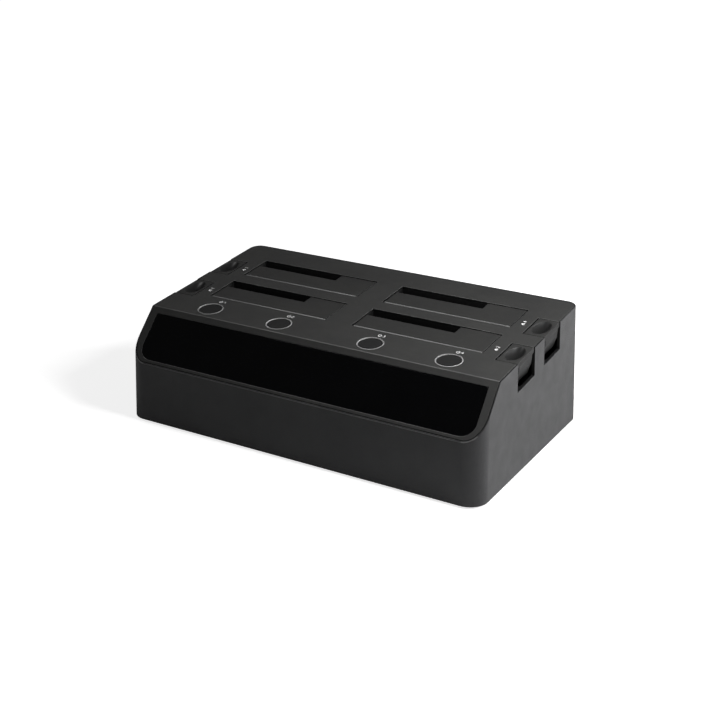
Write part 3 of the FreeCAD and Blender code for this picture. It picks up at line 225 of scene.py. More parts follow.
# Flap lips: light grey far above the flaps' plastic, a painted highlight along each front edge.
LIP_HIGHLIGHT = polished("lip_polish", (0.15, 0.15, 0.15), (0.19, 0.19, 0.19), 0.24, specular=0.9)
STEEL = metal("plated_steel", (0.45, 0.45, 0.45), (0.62, 0.62, 0.61), 0.28)
SPRING = metal("spring_wire", (0.38, 0.38, 0.38), (0.55, 0.55, 0.54), 0.3)
GOLD = metal("gold_plate", (0.72, 0.50, 0.20), (0.85, 0.62, 0.28), 0.25)
BLACK = moulded("connector_black", (0.010, 0.010, 0.010), (0.014, 0.014, 0.014), 0.4, grain=0.00003)
FAN = moulded("fan_black", (0.012, 0.012, 0.012), (0.016, 0.016, 0.016), 0.45, grain=0.00003)
BOARD = laminate("board_green")
FOOT = rubber("foot_rubber")
INK = printed("white_ink", (0.78, 0.78, 0.78))

SLOT_MATERIAL = {
    "housing_plastic": HOUSING,
    "cover_plastic": COVER,
    "gloss_plastic": GLOSS,
    "flap_plastic": FLAP,
    "well_plastic": WELL_SHADE,
    "button_plastic": BUTTON,
    "ring_plastic": RING,
    "steel": STEEL,
    "foot_rubber": FOOT,
    "board_laminate": BOARD,
    "connector_plastic": BLACK,
    "fan_plastic": FAN,
}


def dress(thing, material):
    thing.data.materials.clear()
    thing.data.materials.append(material)


def make_object(name, mesh, material, smooth=False):
    thing = bpy.data.objects.new(name, mesh)
    bpy.context.scene.collection.objects.link(thing)
    if material is not None:
        dress(thing, material)
    for face in mesh.polygons:
        face.use_smooth = smooth
    return thing


SLOT_OF = {part["node"]: part["material_slot"] for part in frame["record"]["subparts"]}
for node, thing in NODES.items():
    dress(thing, SLOT_MATERIAL[SLOT_OF[node]])

# ---------------------------------------------------------------- the sloping deck

DECK = max(NODES["top_cover"].data.polygons, key=lambda face: face.area if face.normal.z > 0.9 else 0.0)
DECK_UP = Vector(DECK.normal)
DECK_SPOT = Vector(DECK.center)
DECK_TILT = math.atan2(-DECK_UP.y, DECK_UP.z)


def on_deck(x, y, lift=0.0, turn=0.0):
    """A frame on the sloping deck: x along the front, z out of the deck. x and y are in metres."""
    z = DECK_SPOT.z - (DECK_UP.x * (x - DECK_SPOT.x) + DECK_UP.y * (y - DECK_SPOT.y)) / DECK_UP.z
    return (Matrix.Translation(Vector((x, y, z)) + DECK_UP * lift) @ Matrix.Rotation(DECK_TILT, 4, "X")
            @ Matrix.Rotation(turn, 4, "Z"))


# ---------------------------------------------------------------- moulded parts with softened edges


LEVEL = radians(0.5)  # faces that meet at less than this lie in one plane
ROUND = radians(26.0)  # faces that meet at less than this belong to one rounding
BLEND = radians(50.0)  # a rounding takes its shading from neighbours within this
FLAT_WIDTH = 0.9 * MM  # a flat face is wider than this,
FLAT_SHARE = 2.2  # and wider by this factor than the roundings beside it
HARD = radians(32.0)  # faces that meet at more than this have a hard edge between them
FURTHEST = 0.6  # how far a rounding may lie from the hard form's skin, as a share of its radius


def level_groups(form):
    """Groups of faces that lie in one plane side by side: the group of each face, each group's mean width."""
    group = list(range(len(form.faces)))

    def first(index):
        while group[index] != index:
            group[index] = group[group[index]]
            index = group[index]
        return index

    joined = [len(edge.link_faces) == 2 and edge.calc_face_angle(0.0) < LEVEL for edge in form.edges]
    for edge, level in zip(form.edges, joined):
        if level:
            group[first(edge.link_faces[0].index)] = first(edge.link_faces[1].index)
    group = [first(index) for index in group]
    area, rim = {}, {}
    for face in form.faces:
        area[group[face.index]] = area.get(group[face.index], 0.0) + face.calc_area()
    for edge, level in zip(form.edges, joined):
        for face in () if level else edge.link_faces:
            rim[group[face.index]] = rim.get(group[face.index], 0.0) + edge.calc_length()
    return group, {key: 2.0 * area[key] / max(1e-9, rim.get(key, 0.0)) for key in area}


def shade_evenly(mesh, form):
    """Flat faces shade flat to their last millimetre, and the roundings between them shade round."""
    form.normal_update()
    group, width = level_groups(form)
    widest = {}
    for edge in form.edges:
        if len(edge.link_faces) == 2 and LEVEL <= edge.calc_face_angle(0.0) < ROUND:
            one, two = (group[face.index] for face in edge.link_faces)
            widest[one] = max(widest.get(one, 0.0), width[two])
            widest[two] = max(widest.get(two, 0.0), width[one])
    flat = {key: own > FLAT_WIDTH and own > FLAT_SHARE * widest.get(key, 0.0) for key, own in width.items()}
    normals = []
    for face in form.faces:
        for corner in face.loops:
            if flat[group[face.index]]:
                normals.append(face.normal.copy())
                continue
            near = [other for other in corner.vert.link_faces if face.normal.angle(other.normal, 0.0) < BLEND]
            level = [other for other in near if flat[group[other.index]]]
            mean = Vector()
            for other in level or near:
                mean += other.normal * (1.0 if level else other.calc_area() ** 0.5)
            normals.append(mean.normalized() if mean.length > 1e-6 else face.normal.copy())
    mesh.normals_split_custom_set(normals)


def whole_faces(node, reshape=None):
    """The node's mesh with its triangles joined back into whole faces, reshaped first where that is asked."""
    form = bmesh.new()
    form.from_mesh(NODES[node].data)
    for vert in form.verts if reshape else ():
        vert.co = reshape(vert.co)
    bmesh.ops.remove_doubles(form, verts=form.verts, dist=1e-6)
    bmesh.ops.dissolve_limit(form, angle_limit=radians(0.6), verts=form.verts, edges=form.edges)
    return form


def softened(node, radius, material=None, reshape=None):
    """The node's own form with its hard edges rounded by a radius in millimetres, as every moulding and
    pressing has them. A point that a sharp corner throws out goes back to the form's skin."""
    form = whole_faces(node, reshape)
    bmesh.ops.connect_verts_concave(form, faces=form.faces)
    hard = [edge for edge in form.edges if len(edge.link_faces) == 2 and edge.calc_face_angle() > HARD]
    skin = BVHTree.FromBMesh(form)
    bmesh.ops.bevel(form, geom=hard, offset=radius * MM, offset_type="OFFSET", segments=2, profile=0.5,
                    affect="EDGES", clamp_overlap=False)
    for vert in form.verts:
        spot, _, _, away = skin.find_nearest(vert.co)
        if away > FURTHEST * radius * MM:
            vert.co = spot
    form.faces.index_update()
    mesh = bpy.data.meshes.new(node + "_form")
    form.to_mesh(mesh)
    piece = make_object(node + "_form", mesh, material or SLOT_MATERIAL[SLOT_OF[node]], smooth=True)
    shade_evenly(mesh, form)
    form.free()
    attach(piece, NODES[node]["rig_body"])
    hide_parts(node)
    return piece


def deck_depth(spot):
    """How far a point lies below the deck."""
    return on_deck(spot.x, spot.y).to_translation().z - spot.z


DISH_IN = 8.3 * MM  # from an eject pad's inner edge to the middle of its finger dish
DISH_WIDE, DISH_LONG = 6.4 * MM, 10.9 * MM  # the oval dish's half width in x and half length in y
DISH_RIM, DISH_DEEP = 0.1, 2.9  # in mm: depth at the dish's rim, and how much deeper its middle is
DISH_FLOOR = (0.02 * MM, 2.3 * MM)  # depths between which the hard form's dish lies
DISH_EDGE, SIDE_TOP = 3.2 * MM, 3.3 * MM  # the dish's faces lie above the first, a side's below the second
ROUNDED = 0.3 * MM  # depth of the rounded edges around the deck


def dish_share(node):
    """How far out in an eject button's finger dish a point lies: 0 in its middle, 1 on its rim."""
    low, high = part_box(node)
    side = 1.0 if low.x > 0.0 else -1.0
    x = side * (min(abs(low.x), abs(high.x)) + DISH_IN)
    y = (low.y + high.y) / 2
    return lambda spot: ((spot.x - x) / DISH_WIDE) ** 2 + ((spot.y - y) / DISH_LONG) ** 2


def painted_depth_shade(name, pale, dark, rough):
    """The plastic of an eject button's side in painted shade: darker than the button, and darker still as it runs
    down into the case.
    """
    s = Shader(name)
    level = s.node("ShaderNodeVectorMath")
    level.operation = "DOT_PRODUCT"
    s.feed(level.inputs[0], s.where)
    s.feed(level.inputs[1], DECK_UP)
    depth = s.math("SUBTRACT", on_deck(0.0, 0.0).to_translation().dot(DECK_UP), level.outputs["Value"])
    speckle = s.noise(2600.0, detail=2.0, rough=0.6)
    # Painted shade: the colour goes from pale to dark between 1 and 13 mm below the deck.
    colour = s.mix(s.spread(depth, 0.001, 0.013), (*pale, 1.0), (*dark, 1.0))
    return s.set(Base_Color=s.mix(s.spread(speckle, 0.35, 0.65, 0.0, 0.3), colour, (*dark, 1.0)),
                 Roughness=s.spread(s.noise(90.0, detail=4.0), 0.3, 0.7, rough - 0.04, rough + 0.05),
                 Normal=s.bump(speckle, 0.5, 0.00006), Specular_IOR_Level=0.12)


# The eject buttons' sides: far darker than the buttons' plastic, as painted shade in the windows.
SKIRT_SHADE = painted_depth_shade("button_side", (0.0062, 0.0062, 0.0064), (0.0012, 0.0012, 0.0012), 0.45)


def second_material(piece, material, chosen):
    """Gives the chosen faces of a piece another material."""
    piece.data.materials.append(material)
    for face in piece.data.polygons:
        if chosen(face.center, face.normal, face.area):
            face.material_index = len(piece.data.materials) - 1


GAP_PULL = 0.6 * MM  # how much an end is drawn in, so that the dark gap beside it shows
GAP_NEAR = 2.0 * MM  # points this near to an end go with it


def drawn_in(spot, low, high, ends):
    """Where a point of a piece goes when the piece's ends in x are drawn in, or its inner end alone."""
    if spot.x > high.x - GAP_NEAR and (ends or high.x < 0.0):
        return spot - Vector((GAP_PULL, 0.0, 0.0))
    if spot.x < low.x + GAP_NEAR and (ends or low.x > 0.0):
        return spot + Vector((GAP_PULL, 0.0, 0.0))
    return spot


def drawn_flap(node):
    """Draws both ends of a flap in."""
    low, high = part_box(node)
    return lambda spot: drawn_in(spot, low, high, True)


def drawn_button(node):
    """Draws an eject button's inner end in, and hollows its finger dish evenly, deepest in its middle."""
    low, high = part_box(node)
    out = dish_share(node)

    def reshape(spot):
        if out(spot) < 1.0 and DISH_FLOOR[0] < deck_depth(spot) < DISH_FLOOR[1]:
            below = (DISH_RIM + DISH_DEEP * (1.0 - out(spot))) * MM
            return Vector((spot.x, spot.y, on_deck(spot.x, spot.y).to_translation().z - below))
        return drawn_in(spot, low, high, False)

    return reshape


# Which faces take a second material, painted shade or a painted highlight, from a face's centre, normal and area.
NARROW = 150.0 * MM * MM  # a rounding's faces are smaller than this, and a wall's are larger
COVER_X, COVER_Y = 145.0 * MM, 84.0 * MM  # just inside the cover's outer walls
EDGE_X, EDGE_DEPTH = 144.0 * MM, 1.0 * MM  # inside the roundings of the cover's outer ends, and near the deck
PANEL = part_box("gloss_panel")[0]  # the front lower corner of the gloss panel
PANEL_NEAR, PANEL_LEVEL = 1.2 * MM, 3.0 * MM  # how near to it the roundings of its seat lie, in y and in z
FRONT_WALL, FRONT_HIGH = -80.0 * MM, 35.0 * MM  # before the first in y and above the second: the front's top edge
WINDOW_LOW, WINDOW_OUT, WINDOW_LONG = 50.0 * MM, 120.0 * MM, 55.0 * MM  # the side windows: above, beyond, within


def opening_wall(spot, normal, area):
    """The inner walls of the cover's openings, which take painted shade."""
    return (normal.dot(DECK_UP) < 0.4 and deck_depth(spot) > ROUNDED
            and abs(spot.x) < COVER_X and abs(spot.y) < COVER_Y)


def deck_edge(spot, normal, area):
    """The roundings along the deck that lean to the front, which take a painted highlight."""
    return (normal.y < -0.2 and area < NARROW and 0.55 < normal.dot(DECK_UP) < 0.985
            and abs(spot.x) < EDGE_X and deck_depth(spot) < EDGE_DEPTH)


def panel_edge(spot, normal, area):
    """The rounding of the cover along the gloss panel's front, which takes a painted highlight."""
    return (abs(spot.y - PANEL.y) < PANEL_NEAR and normal.z > 0.7
            and abs(spot.z - PANEL.z) < PANEL_LEVEL and area < NARROW)


def front_edge(spot, normal, area):
    """The rounding along the top of the case's front wall, which takes a painted highlight."""
    return spot.y < FRONT_WALL and spot.z > FRONT_HIGH and 0.25 < normal.z < 0.97 and area < NARROW


def window_wall(spot, normal, area):
    """The inner walls of the windows for the eject buttons in the case's sides, which take painted shade."""
    return (abs(normal.x) < 0.5 and spot.z > WINDOW_LOW
            and abs(spot.x) > WINDOW_OUT and abs(spot.y) < WINDOW_LONG)


cover = softened("top_cover", 0.3)
# The inner walls of the cover's openings take painted shade.
second_material(cover, PAINTED_SHADE, opening_wall)
# The front-leaning roundings take painted highlight lines.
second_material(cover, EDGE_HIGHLIGHT, deck_edge)
second_material(cover, EDGE_HIGHLIGHT, panel_edge)
case = softened("housing_shell", 0.3)
# The rounding along the front wall's top takes a painted highlight line.
second_material(case, EDGE_HIGHLIGHT, front_edge)
# The side windows' inner walls take painted shade.
second_material(case, PAINTED_SHADE, window_wall)
softened("bottom_tray", 0.3)
softened("gloss_panel", 0.2)
for number in BAYS:
    softened(f"flap_{number}", 0.4, reshape=drawn_flap(f"flap_{number}"))
    button = softened(f"eject_button_{number}", 0.35, reshape=drawn_button(f"eject_button_{number}"))
    out = dish_share(f"eject_button_{number}")
    # The finger dish takes the painted shade.
    second_material(button, DISH_SHADE, lambda spot, normal, area: out(spot) < 1.0 and normal.z > 0.3
                    and normal.dot(DECK_UP) < 0.9995 and deck_depth(spot) < DISH_EDGE)
    # The button's side below the deck takes the painted shade.
    second_material(button, SKIRT_SHADE, lambda spot, normal, area: normal.z < 0.6 and deck_depth(spot) > ROUNDED
                    and (out(spot) > 1.0 or deck_depth(spot) > SIDE_TOP))
    softened(f"power_button_{number}", 0.25, CAP)
    softened(f"light_ring_{number}", 0.12)
    softened(f"drive_well_{number}", 0.25)
for node in ("power_switch", "switch_rocker", "fan_frame_1", "fan_frame_2"):
    softened(node, 0.3)
softened("feet", 0.5)

# ---------------------------------------------------------------- building blocks


def finished(name, form, material, body, replaced=(), smooth=False):
    """Turns a bmesh, made in millimetres, into a piece that rides on its body."""
    bmesh.ops.scale(form, vec=(MM, MM, MM), verts=form.verts)
    bmesh.ops.recalc_face_normals(form, faces=form.faces)
    mesh = bpy.data.meshes.new(name)
    form.to_mesh(mesh)
    form.free()
    piece = make_object(name, mesh, material, smooth)
    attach(piece, body)
    if replaced:
        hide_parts(*replaced)
    return piece


def in_mm(matrix):
    """The same placing, for points given in millimetres."""
    return Matrix.Translation(matrix.to_translation() / MM) @ matrix.to_3x3().to_4x4()


def add_block(form, size, place, rounding=0.0):
    """A moulded block, centred on its place, with rounded edges."""
    made = bmesh.ops.create_cube(form, size=1.0, matrix=place @ Matrix.Diagonal((*size, 1.0)))
    if rounding:
        edges = list(dict.fromkeys(edge for vert in made["verts"] for edge in vert.link_edges))
        bmesh.ops.bevel(form, geom=edges, offset=rounding, offset_type="OFFSET", segments=2, profile=0.5,
                        affect="EDGES", clamp_overlap=True)


def add_tube(form, line, radius, sides=10):
    """Round wire along a line of points, with closed ends."""
    rings = []
    side = None
    for index, point in enumerate(line):
        ahead = (line[min(index + 1, len(line) - 1)] - line[max(index - 1, 0)]).normalized()
        side = ahead.orthogonal() if side is None else side - ahead * side.dot(ahead)
        side.normalize()
        other = ahead.cross(side)
        rings.append([form.verts.new(point + radius * (cos(a) * side + sin(a) * other))
                      for a in (2.0 * pi * step / sides for step in range(sides))])
    for one, two in zip(rings, rings[1:]):
        for step in range(sides):
            form.faces.new((one[step], one[(step + 1) % sides], two[(step + 1) % sides], two[step]))
    form.faces.new(list(reversed(rings[0])))
    form.faces.new(rings[-1])


def add_stroke(form, points, width, place, closed=False, thickness=0.04):
    """A printed or inlaid line: a thin ribbon through the points, in the place's own plane."""
    count = len(points)
    pairs = []
    for index in range(count):
        here = Vector(points[index])
        before = Vector(points[index - 1] if index or closed else points[0])
        after = Vector(points[(index + 1) % count] if index < count - 1 or closed else points[-1])
        one, two = here - before, after - here
        one = one.normalized() if one.length > 1e-9 else two.normalized()
        two = two.normalized() if two.length > 1e-9 else one
        across = Vector((-(one.y + two.y), one.x + two.x))
        across = across.normalized() if across.length > 1e-6 else Vector((-one.y, one.x))
        reach = width / 2 / max(0.5, across.dot(Vector((-one.y, one.x))))
        pairs.append([place @ Vector((*(here + across * reach * s), z))
                      for s in (1, -1) for z in (thickness, 0.0)])
    rings = [[form.verts.new(corner) for corner in (p[0], p[1], p[3], p[2])] for p in pairs]
    joints = list(zip(rings, rings[1:])) + ([(rings[-1], rings[0])] if closed else [])
    for one, two in joints:
        for step in range(4):
            form.faces.new((one[step], one[(step + 1) % 4], two[(step + 1) % 4], two[step]))
    if not closed:
        form.faces.new(rings[0])
        form.faces.new(list(reversed(rings[-1])))


def arc(radius, start, end, steps=24, middle=(0.0, 0.0)):
    """Points along a circle, between two angles in degrees."""
    return [(middle[0] + radius * cos(radians(start + (end - start) * step / steps)),
             middle[1] + radius * sin(radians(start + (end - start) * step / steps)))
            for step in range(steps + 1)]


DIGIT_DRAWN = 1.9  # the height at which the digits are drawn here, about their middle
DIGIT_HIGH, DIGIT_LINE = 2.4, 0.46  # the height and the line width at which they are printed
DIGITS = {
    1: [[(-0.38, 0.55), (0.05, 0.95), (0.05, -0.95)]],
    2: [arc(0.48, 165, -35, 14, (0.0, 0.45)) + [(-0.5, -0.9), (0.52, -0.9)]],
    3: [arc(0.44, 150, -80, 14, (0.0, 0.48)), arc(0.5, 85, -150, 14, (0.0, -0.44))],
    4: [[(0.28, -0.95), (0.28, 0.95), (-0.55, -0.35), (0.6, -0.35)]],
}


def add_digit(form, number, place):
    """A plain printed number, centred on its place."""
    for line in DIGITS[number]:
        add_stroke(form, [(x * DIGIT_HIGH / DIGIT_DRAWN, y * DIGIT_HIGH / DIGIT_DRAWN) for x, y in line],
                   DIGIT_LINE, place)


# ---------------------------------------------------------------- signs printed on the deck

PRINT_LIFT = 0.02 * MM  # print lies this far clear of the deck
POWER_OFF = (0.2 * MM, 13.2 * MM)  # from a power button's middle to its sign
POWER_LINE, BAR_LINE, WEDGE_LINE = 0.52, 0.5, 0.42  # line widths of the power sign and of the eject sign

for number in BAYS:
    low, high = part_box(f"light_ring_{number}")
    signs = bmesh.new()
    spot = (low + high) / 2
    power = in_mm(on_deck(spot.x + POWER_OFF[0], spot.y + POWER_OFF[1], PRINT_LIFT))
    add_stroke(signs, arc(1.3, 128, 412), POWER_LINE, power)
    add_stroke(signs, [(0.0, 0.2), (0.0, 1.9)], POWER_LINE, power)
    add_digit(signs, number, power @ Matrix.Translation((3.2, 0.1, 0.0)))
    finished(f"power_sign_{number}", signs, INK, "base")

# The eject sign is a bar under a wedge of stacked lines, turned to be read from the side.
for number in BAYS:
    low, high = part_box(f"eject_button_{number}")
    flap_low, flap_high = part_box(f"flap_{number}")
    side = 1.0 if low.x > 0 else -1.0
    inner = min(abs(low.x), abs(high.x))
    bay_end = max(abs(flap_low.x), abs(flap_high.x))
    signs = bmesh.new()
    spot = in_mm(on_deck(side * (inner + bay_end) / 2, (low.y + high.y) / 2 + 1.5 * MM, PRINT_LIFT, radians(90)))
    eject = spot @ Matrix.Translation((-1.7, 0.0, 0.0))
    add_stroke(signs, [(-1.7, -1.05), (1.7, -1.05)], BAR_LINE, eject)
    for reach, level in ((1.45, -0.35), (1.0, 0.05), (0.55, 0.45), (0.2, 0.8)):
        add_stroke(signs, [(-reach, level), (reach, level)], WEDGE_LINE, eject)
    add_digit(signs, number, spot @ Matrix.Translation((2.4, 0.0, 0.0)))
    finished(f"eject_sign_{number}", signs, INK, "base")

# ---------------------------------------------------------------- flaps: glossy front lip with a painted highlight, torsion spring

BARREL = 2.2  # radius of the barrel along a flap's front, about the hinge
LIP_IN, LIP_LOW, LIP_RISE = 2.0, 2.05, 0.42  # radii of the lip's inside and of its outside's foot, and its swell
LIP_FROM, LIP_TO = 12, 74  # the lip's reach around the hinge, in degrees forward from upright
LIP_SHORT = 0.9  # how far the lip ends short of the flap's end
COIL_HALF, COIL_RADIUS = 3.5, 1.4  # half length and radius of the spring around the hinge pin
COIL_TURNS, COIL_STEPS, COIL_WIRE = 11, 22, 0.25

for number in BAYS:
    low, high = (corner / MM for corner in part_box(f"flap_{number}"))
    axis_y, axis_z = low.y + BARREL, low.z + BARREL
    middle = (low.x + high.x) / 2
    lip = bmesh.new()
    rings = []
    half = (high.x - low.x) / 2 - LIP_SHORT
    for along, fullness in ((0.0, 0.2), (0.12, 0.6), (0.35, 0.88), (0.8, 1.0)):
        rings.append((along - half, fullness))
    rings += [(-x, fullness) for x, fullness in reversed(rings)]
    sections = []
    for x, fullness in rings:
        outer = []
        for step in range(9):
            lean = radians(LIP_FROM + (LIP_TO - LIP_FROM) * step / 8)
            radius = LIP_LOW + LIP_RISE * fullness * math.sqrt(sin(pi * step / 8))
            outer.append((-radius * sin(lean), radius * cos(lean)))
        inner = [(-LIP_IN * sin(radians(a)), LIP_IN * cos(radians(a))) for a in (LIP_TO, 54, 33, LIP_FROM)]
        sections.append([lip.verts.new((middle + x, axis_y + y, axis_z + z)) for y, z in outer + inner])
    for one, two in zip(sections, sections[1:]):
        for step in range(len(one)):
            after = (step + 1) % len(one)
            lip.faces.new((one[step], one[after], two[after], two[step]))
    lip.faces.new(list(reversed(sections[0])))
    lip.faces.new(sections[-1])
    # The lip's light grey is a painted highlight.
    finished(f"flap_lip_{number}", lip, LIP_HIGHLIGHT, f"flap_{number}", smooth=True)

    coil = bmesh.new()
    line = [Vector((middle + COIL_HALF, axis_y - COIL_RADIUS, axis_z - below)) for below in (7.5, 4.0, 0.8)]
    count = COIL_TURNS * COIL_STEPS
    for step in range(count + 1):
        turn = 2.0 * pi * step / COIL_STEPS
        line.append(Vector((middle + COIL_HALF - 2.0 * COIL_HALF * step / count,
                            axis_y - COIL_RADIUS * cos(turn), axis_z + COIL_RADIUS * sin(turn))))
    line.append(line[-1] + Vector((0.0, -0.02, -1.0)))
    line.append(line[-1] + Vector((0.0, 0.0, -3.5)))
    add_tube(coil, line, COIL_WIRE, 8)
    finished(f"flap_spring_coil_{number}", coil, SPRING, "base", (f"flap_spring_{number}",), smooth=True)

# ---------------------------------------------------------------- eject buttons: return springs

SPRING_WIRE, SPRING_TURNS, SPRING_STEPS = 0.26, 7.0, 20
SPRING_LAP = 0.12  # share of a turn by which the climb starts before the flat end turn is full

for number in BAYS:
    low, high = (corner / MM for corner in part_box(f"eject_spring_{number}"))
    spot = (low + high) / 2
    coil = bmesh.new()
    radius = (high.x - low.x) / 2 - SPRING_WIRE
    height = high.z - low.z - 2 * SPRING_WIRE
    line = []
    for step in range(int((SPRING_TURNS + 2) * SPRING_STEPS) + 1):
        turn = 2.0 * pi * step / SPRING_STEPS
        climbed = (step / SPRING_STEPS - 1.0 + SPRING_LAP) / (SPRING_TURNS + 2 * SPRING_LAP)
        line.append(Vector((spot.x + radius * cos(turn), spot.y + radius * sin(turn),
                            low.z + SPRING_WIRE + height * min(1.0, max(0.0, climbed)))))
    add_tube(coil, line, SPRING_WIRE, 8)
    piece = finished(f"eject_spring_coil_{number}", coil, SPRING, "base", (f"eject_spring_{number}",),
                     smooth=True)
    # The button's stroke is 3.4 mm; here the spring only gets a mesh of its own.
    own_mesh(piece)

# ---------------------------------------------------------------- screws with a cross recess


def loose_parts(node):
    """The separate solids of a node, each as its own list of faces (centre, normal, area) in millimetres."""
    form = whole_faces(node)
    taken, parts = set(), []
    for start in form.faces:
        reach, part = [start] if start not in taken else [], []
        taken.add(start)
        while reach:
            face = reach.pop()
            part.append((face.calc_center_median() / MM, face.normal.copy(), face.calc_area() / MM ** 2))
            for edge in face.edges:
                for other in edge.link_faces:
                    if other not in taken:
                        taken.add(other)
                        reach.append(other)
        if part:
            parts.append(part)
    form.free()
    return parts


def add_screw(form, place, head, rise, shank, length):
    """Pan-head screw with a thread and a cross recess, from the radii of head and shank, the head's height
    and the shank's length: z points out of the head, whose top is at the place."""
    sides, pitch, tip = 32, 1.0, 0.9
    low = -rise - length + tip
    rings = [(0.0, -rise - length), (shank * 0.55, -rise - length), (shank, low)]
    while low + pitch < -rise:
        rings += [(shank * 0.8, low + pitch * 0.5), (shank, low + pitch)]
        low += pitch
    rings += [(shank, -rise), (head * 0.97, -rise), (head, -rise + 0.12), (head, -rise * 0.62),
              (head * 0.95, -rise * 0.3), (head * 0.84, -rise * 0.1), (head * 0.68, 0.0)]
    before = None
    for radius, level in rings:
        if radius == 0.0:
            before = [form.verts.new(place @ Vector((0.0, 0.0, level)))]
            continue
        ring = [form.verts.new(place @ Vector((radius * cos(2 * pi * s / sides), radius * sin(2 * pi * s / sides),
                                               level))) for s in range(sides)]
        for s in range(sides):
            if len(before) == 1:
                form.faces.new((before[0], ring[(s + 1) % sides], ring[s]))
            else:
                form.faces.new((before[s], before[(s + 1) % sides], ring[(s + 1) % sides], ring[s]))
        before = ring
    narrow, wide = head * 0.11, head * 0.52
    cross = [(wide, -narrow), (wide, narrow), (narrow, narrow), (narrow, wide), (-narrow, wide), (-narrow, narrow),
             (-wide, narrow), (-wide, -narrow), (-narrow, -narrow), (-narrow, -wide), (narrow, -wide),
             (narrow, -narrow)]
    top = [form.verts.new(place @ Vector((x, y, 0.0))) for x, y in cross]
    foot = [form.verts.new(place @ Vector((x * 0.62, y * 0.62, -rise * 0.8))) for x, y in cross]
    corners = len(cross)
    rim = [form.edges.get((before[s], before[(s + 1) % sides])) for s in range(sides)]
    rim += [form.edges.new((top[s], top[(s + 1) % corners])) for s in range(corners)]
    bmesh.ops.triangle_fill(form, use_beauty=True, use_dissolve=False, edges=rim)
    for s in range(corners):
        form.faces.new((top[s], foot[s], foot[(s + 1) % corners], top[(s + 1) % corners]))
    form.faces.new(foot)


for node in ("case_screws", "fan_screws"):
    form = bmesh.new()
    for part in loose_parts(node):
        centre, outward, area = max(part, key=lambda face: face[2])
        place = Matrix.Translation(centre) @ outward.to_track_quat("Z", "Y").to_matrix().to_4x4()
        add_screw(form, place, head=math.sqrt(area / pi), rise=1.4, shank=1.35, length=9.6)
    finished(node + "_heads", form, STEEL, "base", (node,))

# ---------------------------------------------------------------- rear face: rocker signs and port contacts

rocker = NODES["switch_rocker"].data
rocker_shape = BVHTree.FromPolygons([vert.co for vert in rocker.vertices],
                                    [tuple(face.vertices) for face in rocker.polygons])
low, high = (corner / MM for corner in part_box("switch_rocker"))


def on_rocker(share):
    """A frame on the rocker's outer face, at a share of its height, found by looking in from behind."""
    behind = Vector(((low.x + high.x) / 2, 200.0, low.z + (high.z - low.z) * share)) * MM
    spot, outward, _, _ = rocker_shape.ray_cast(behind, Vector((0.0, -1.0, 0.0)))
    across = Vector((-1.0, 0.0, 0.0))
    turn = Matrix((across, outward.cross(across), outward)).transposed()
    return Matrix.Translation(spot / MM + outward * 0.02) @ turn.to_4x4()


signs = bmesh.new()
add_stroke(signs, arc(1.25, 0, 345, 23), 0.4, on_rocker(0.24), closed=True)
add_stroke(signs, [(0.0, -1.4), (0.0, 1.4)], 0.42, on_rocker(0.76))
finished("rocker_signs", signs, INK, "switch_rocker")

# The tongue of each port: width, thickness, contacts side by side, their pitch, and the sides they lie on.
TONGUES = {"usb_port": (5.4, 3.0, 2, 2.4, (1, -1)), "esata_port": (9.6, 1.1, 7, 1.27, (1,))}
TONGUE_LONG, TONGUE_IN = 8.0, 1.2  # a tongue's length, and how far it ends inside the port's mouth

for node, (wide, thick, count, pitch, sides) in TONGUES.items():
    low, high = (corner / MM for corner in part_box(node))
    centre = (low + high) / 2
    inside, plate = bmesh.new(), bmesh.new()
    middle = Vector((centre.x, high.y - TONGUE_IN - TONGUE_LONG / 2, centre.z))
    add_block(inside, (wide, TONGUE_LONG, thick), Matrix.Translation(middle), 0.2)
    for step in range(count):
        x = (step - (count - 1) / 2) * pitch
        for level in sides:
            add_block(plate, (min(1.0, pitch * 0.6), TONGUE_LONG - 1.4, 0.16),
                      Matrix.Translation(middle + Vector((x, 0.2, level * (thick / 2 + 0.02)))), 0.04)
    finished(node + "_tongue", inside, BLACK, "base")
    finished(node + "_contacts", plate, GOLD, "base")

low, high = (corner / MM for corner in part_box("dc_jack"))
centre = (low + high) / 2
pin = bmesh.new()
add_tube(pin, [Vector((centre.x, high.y - back, centre.z)) for back in (9.0, 6.0, 2.2, 1.6, 1.35)],
         radius=1.02, sides=20)
finished("dc_jack_pin", pin, STEEL, "base", smooth=True)

# ---------------------------------------------------------------- drive sockets: gold contacts; wells: guide ribs

# From a socket's end to its data slot, that slot's length, and the gap between it and the power slot.
SLOT_END, DATA_LONG, SLOT_GAP = 3.0, 11.5, 2.5
SLOT_REAR, SLOT_HALF = 2.0, 0.8  # from a socket's rear face to its slots, and half a slot's width
CONTACT_PITCH, CONTACT_WIRE = 1.27, 0.2
CONTACT_BEND = ((0.55, -4.6), (0.5, -2.6), (0.12, -1.6), (0.3, -0.7), (0.72, -0.25))  # a contact's line, y and z
WELL_WALL = 1.8
RIB_WIDE, RIB_DEEP, RIB_SUNK = 1.4, 1.5, 0.55  # a rib's width, its depth, and its middle before the rear wall

